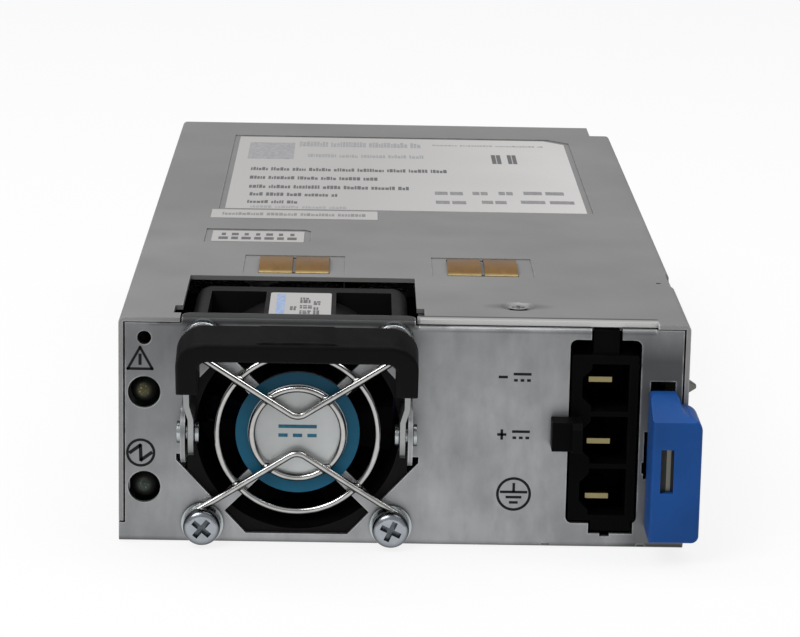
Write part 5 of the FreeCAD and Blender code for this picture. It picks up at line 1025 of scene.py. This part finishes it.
class POWER_OT_guard(bpy.types.Operator):
    """Finger guard, the welds between its wires, its washers and screws"""
    bl_idname = "power_module.guard"
    bl_label = "Finger guard"

    def execute(self, context):
        s = sizes()
        give("finger_guard", "guard_wire")
        welds = bmesh.new()
        for x, z in WELDS:
            for side in (-1.0, 1.0):
                for rise in (-1.0, 1.0):
                    add_weld(welds, FAN_X + side * x * MM, FAN_Z + rise * z * MM)
        outward(welds)
        add_to_case(welds, "guard_welds", "guard_wire")
        give("guard_washers", "zinc")
        screws = dressed_copy("guard_screws", "screw_zinc", s.small_edge)
        low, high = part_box("guard_screws")
        axes = [(x, z) for x in (low.x + s.screw_head, high.x - s.screw_head)
                for z in (low.z + s.screw_head, high.z - s.screw_head)]

        def in_recess(centre):
            away = min(math.hypot(centre.x - x, centre.z - z) for x, z in axes)
            return away < RECESS_REACH and RECESS_DEPTH[0] < centre.y - low.y < RECESS_DEPTH[1]

        # Faces inside the screws' recesses get painted shade
        refinish(screws, "recess_shade", in_recess)
        return {"FINISHED"}


class POWER_OT_handle(bpy.types.Operator):
    """Folding handle: steel strip, moulded grip and rivets"""
    bl_idname = "power_module.handle"
    bl_label = "Handle"

    def execute(self, context):
        s = sizes()
        dressed_copy("bail_grip", "black_plastic", s.moulded_edge)
        dressed_copy("bail_strip", "handle_zinc", s.sheet_edge)
        dressed_copy("bail_rivets", "zinc", s.sheet_edge)
        return {"FINISHED"}


class POWER_OT_latch(bpy.types.Operator):
    """Side latch: sprung strip, thumb pad and pin"""
    bl_idname = "power_module.latch"
    bl_label = "Latch"

    def execute(self, context):
        s = sizes()
        pad = dressed_copy("latch_pad", "blue_plastic", s.moulded_edge, 3)
        front_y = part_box("latch_pad")[0].y

        def in_slot(centre):
            across = SLOT_X[0] < centre.x / MM < SLOT_X[1]
            up = SLOT_Z[0] < centre.z / MM < SLOT_Z[1]
            return across and up and SLOT_DEPTH[0] < centre.y - front_y < SLOT_DEPTH[1]

        refinish(pad, "slot_shadow", in_slot)
        dressed_copy("latch_strip", "dull_strip", s.sheet_edge)
        give("latch_pin", "zinc")
        return {"FINISHED"}


class POWER_OT_inlet(bpy.types.Operator):
    """DC inlet: moulded housing with its lock, and three blades"""
    bl_idname = "power_module.inlet"
    bl_label = "DC inlet"

    def execute(self, context):
        s = sizes()
        dressed_copy("dc_inlet_housing", "inlet_plastic", s.moulded_edge)
        dressed_copy("dc_inlet_blades", "brass", s.small_edge)
        return {"FINISHED"}


class POWER_OT_lamps(bpy.types.Operator):
    """Fault lamp, power lamp and their board"""
    bl_idname = "power_module.lamps"
    bl_label = "Lamps"

    def execute(self, context):
        give_own("fault_lamp", "power_lamp", "lamp_board")
        return {"FINISHED"}


class POWER_OT_panel_marks(bpy.types.Operator):
    """Generic marks printed on the front panel"""
    bl_idname = "power_module.panel_marks"
    bl_label = "Panel marks"

    def execute(self, context):
        bm = bmesh.new()
        add_fault_mark(bm)
        add_power_mark(bm)
        add_pole_marks(bm)
        add_earth_mark(bm)
        outward(bm)
        add_to_case(bm, "panel_marks", "panel_print")
        return {"FINISHED"}


class POWER_OT_sticker(bpy.types.Operator):
    """Round sticker with a generic direct-current mark"""
    bl_idname = "power_module.sticker"
    bl_label = "Round sticker"

    def execute(self, context):
        give("panel_sticker", "sticker_film")
        bm = bmesh.new()
        add_disc_mark(bm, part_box("panel_sticker")[0].y)
        outward(bm)
        add_to_case(bm, "sticker_mark", "sticker_print")
        return {"FINISHED"}


class POWER_OT_labels(bpy.types.Operator):
    """Three labels on the cover, with words and blocks of small strokes for their print"""
    bl_idname = "power_module.labels"
    bl_label = "Labels"

    def execute(self, context):
        give_own("rating_label", "strip_label", "small_label")
        rng = random.Random(4)
        low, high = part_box("rating_label")
        dark, faint, seals, strip = (bmesh.new() for _ in range(4))
        for bm, rows in ((dark, TEXT_ROWS), (faint, FAINT_ROWS)):
            for row in rows:
                add_words(bm, rng, row, low, high.z)
        add_patch(faint, low, high.z, *FAINT_BLOCK)
        for start, end, base, tall in SEAL_BLOCKS:
            bm = dark if tall > TALL_BLOCK else seals
            width = (end - start) * HALF_SHARE
            for half in (0.0, 0.5):
                middle = start + (end - start) * half + width / 2 + HALF_INSET
                add_patch(bm, low, high.z, middle, base + tall / 2, width, tall)
        add_to_case(seals, "label_print_seals", "strip_print")
        low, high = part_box("strip_label")
        add_words(strip, rng, (2.2, 30.0, (high.y - low.y) / MM * 0.34, 2.6, 2.0, 4.0), low, high.z)
        add_to_case(strip, "strip_label_print", "strip_print")
        low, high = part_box("small_label")
        middle = (high.y - low.y) / 2 / MM
        for step in range(SMALL_LABEL_PAIRS):
            x = SMALL_LABEL_PITCH * (step + 1)
            add_patch(dark, low, high.z, x, middle + 1.7, 1.3 if step % 3 == 1 else 0.8, 2.2)
            add_patch(dark, low, high.z, x, middle - 1.9, 1.3 if step % 2 else 1.8, 2.3)
        add_to_case(dark, "label_print_dark", "label_print")
        add_to_case(faint, "label_print_faint", "faint_print")
        return {"FINISHED"}


class POWER_OT_springs(bpy.types.Operator):
    """Two pairs of copper contact springs on the cover, and the cover's screw"""
    bl_idname = "power_module.springs"
    bl_label = "Contact springs"

    def execute(self, context):
        for node in ("contact_springs_left", "contact_springs_right"):
            dressed_copy(node, "contact_copper", sizes().small_edge)
        give("cover_screw", "dimple_zinc")
        return {"FINISHED"}


class POWER_OT_inside(bpy.types.Operator):
    """Boards, coils, capacitors and sinks inside the case"""
    bl_idname = "power_module.inside"
    bl_label = "Inner pieces"

    def execute(self, context):
        give_own("insulating_liner", "board_standoffs", "board_screws", "main_board", "card_contacts",
                 "input_capacitors", "output_capacitors", "filter_choke", "filter_choke_base",
                 "transformer_core", "transformer_winding", "transformer_bobbin", "output_choke",
                 "heat_sink_left", "heat_sink_right", "power_transistors_left", "power_transistors_right")
        return {"FINISHED"}


class POWER_OT_stage(bpy.types.Operator):
    """Pale floor, soft lamps, even light and the camera"""
    bl_idname = "power_module.stage"
    bl_label = "Stage"

    def execute(self, context):
        stage = context.scene.power_module_stage
        floor = stage_floor()
        key = stage_lamp("Large lamp", (-0.50, -0.60, 0.90), (0.60, 0.60), stage.key_power)
        over = stage_lamp("Long lamp", (0.05, 0.10, 1.00), (1.60, 0.45), stage.over_power)
        camera = stage_camera(stage)
        stage_world(stage.world)
        context.scene.view_settings.view_transform = "Standard"
        return {"FINISHED"}


# Stage

def stage_floor():
    """Pale floor that the camera and the mirrors see as nearly white."""
    bm = bmesh.new()
    bmesh.ops.create_grid(bm, x_segments=1, y_segments=1, size=FLOOR_SIZE)
    material, w, shader = new_material("floor_paper")
    w.feed(shader, {"Base Color": FLOOR_TINT, "Roughness": 0.9})
    white = w.node("ShaderNodeEmission", {"Color": WHITE, "Strength": 1.0})
    rays = w.node("ShaderNodeLightPath").outputs
    mirrored = w.math("MAXIMUM", rays["Is Glossy Ray"], rays["Is Transmission Ray"])
    seen = w.math("MAXIMUM", rays["Is Camera Ray"], mirrored)
    inputs = {0: w.times(seen, FLOOR_GLOW), 1: shader.outputs[0], 2: white.outputs[0]}
    blend = w.node("ShaderNodeMixShader", inputs)
    w.feed(material.node_tree.nodes["Material Output"], {"Surface": blend.outputs[0]})
    return new_piece(bm, "floor", [material])


def stage_lamp(name, place, size, power):
    """Rectangular lamp that points at the module's front."""
    lamp = bpy.data.lights.new(name, "AREA")
    lamp.shape = "RECTANGLE"
    lamp.size, lamp.size_y = size
    lamp.energy = power
    piece = add_object(name, lamp)
    piece.location = place
    aim = Vector(LAMPS_AIM) - piece.location
    piece.rotation_euler = aim.to_track_quat("-Z", "Y").to_euler()
    return piece


def stage_camera(stage):
    camera = bpy.data.cameras.new("Camera")
    camera.lens = stage.lens
    camera.sensor_width = 36
    camera.clip_start = 0.01
    camera.clip_end = 20.0
    piece = add_object("Camera", camera)
    tilt, roll, heading = stage.camera_turn
    piece.matrix_world = (Matrix.Translation(stage.camera_place) @ Matrix.Rotation(heading, 4, "Z")
                          @ Matrix.Rotation(tilt, 4, "X") @ Matrix.Rotation(roll, 4, "Z"))
    bpy.context.scene.camera = piece
    return piece


def stage_world(strength):
    world = bpy.context.scene.world or bpy.data.worlds.new("World")
    bpy.context.scene.world = world
    world.use_nodes = True
    Wiring(world.node_tree).feed(world.node_tree.nodes["Background"], {"Color": WHITE, "Strength": strength})


CLASSES = (PowerModuleColours, PowerModuleSizes, PowerModuleStage, POWER_OT_case, POWER_OT_fan,
           POWER_OT_guard, POWER_OT_handle, POWER_OT_latch, POWER_OT_inlet, POWER_OT_lamps,
           POWER_OT_panel_marks, POWER_OT_sticker, POWER_OT_labels, POWER_OT_springs, POWER_OT_inside,
           POWER_OT_stage)


class POWER_PT_panel(bpy.types.Panel):
    """Lists the values and the pieces of the power supply module"""
    bl_label = "Power supply module"
    bl_idname = "POWER_PT_panel"
    bl_space_type = "VIEW_3D"
    bl_region_type = "UI"
    bl_category = "Power Module"

    def draw(self, context):
        for group in (context.scene.power_module_colours, context.scene.power_module_sizes,
                      context.scene.power_module_stage):
            box = self.layout.box()
            for name in group.bl_rna.properties.keys():
                if name not in ("rna_type", "name"):
                    box.prop(group, name)
        for cls in CLASSES:
            if issubclass(cls, bpy.types.Operator):
                self.layout.operator(cls.bl_idname)


def register():
    for cls in CLASSES + (POWER_PT_panel,):
        bpy.utils.register_class(cls)
    bpy.types.Scene.power_module_colours = bpy.props.PointerProperty(type=PowerModuleColours)
    bpy.types.Scene.power_module_sizes = bpy.props.PointerProperty(type=PowerModuleSizes)
    bpy.types.Scene.power_module_stage = bpy.props.PointerProperty(type=PowerModuleStage)


def unregister():
    del bpy.types.Scene.power_module_stage
    del bpy.types.Scene.power_module_sizes
    del bpy.types.Scene.power_module_colours
    for cls in reversed(CLASSES + (POWER_PT_panel,)):
        bpy.utils.unregister_class(cls)


def main():
    register()
    pieces = bpy.ops.power_module
    pieces.case()
    pieces.fan()
    pieces.guard()
    pieces.handle()
    pieces.latch()
    pieces.inlet()
    pieces.lamps()
    pieces.panel_marks()
    pieces.sticker()
    pieces.labels()
    pieces.springs()
    pieces.inside()
    pieces.stage()


if __name__ == "__main__":
    main()
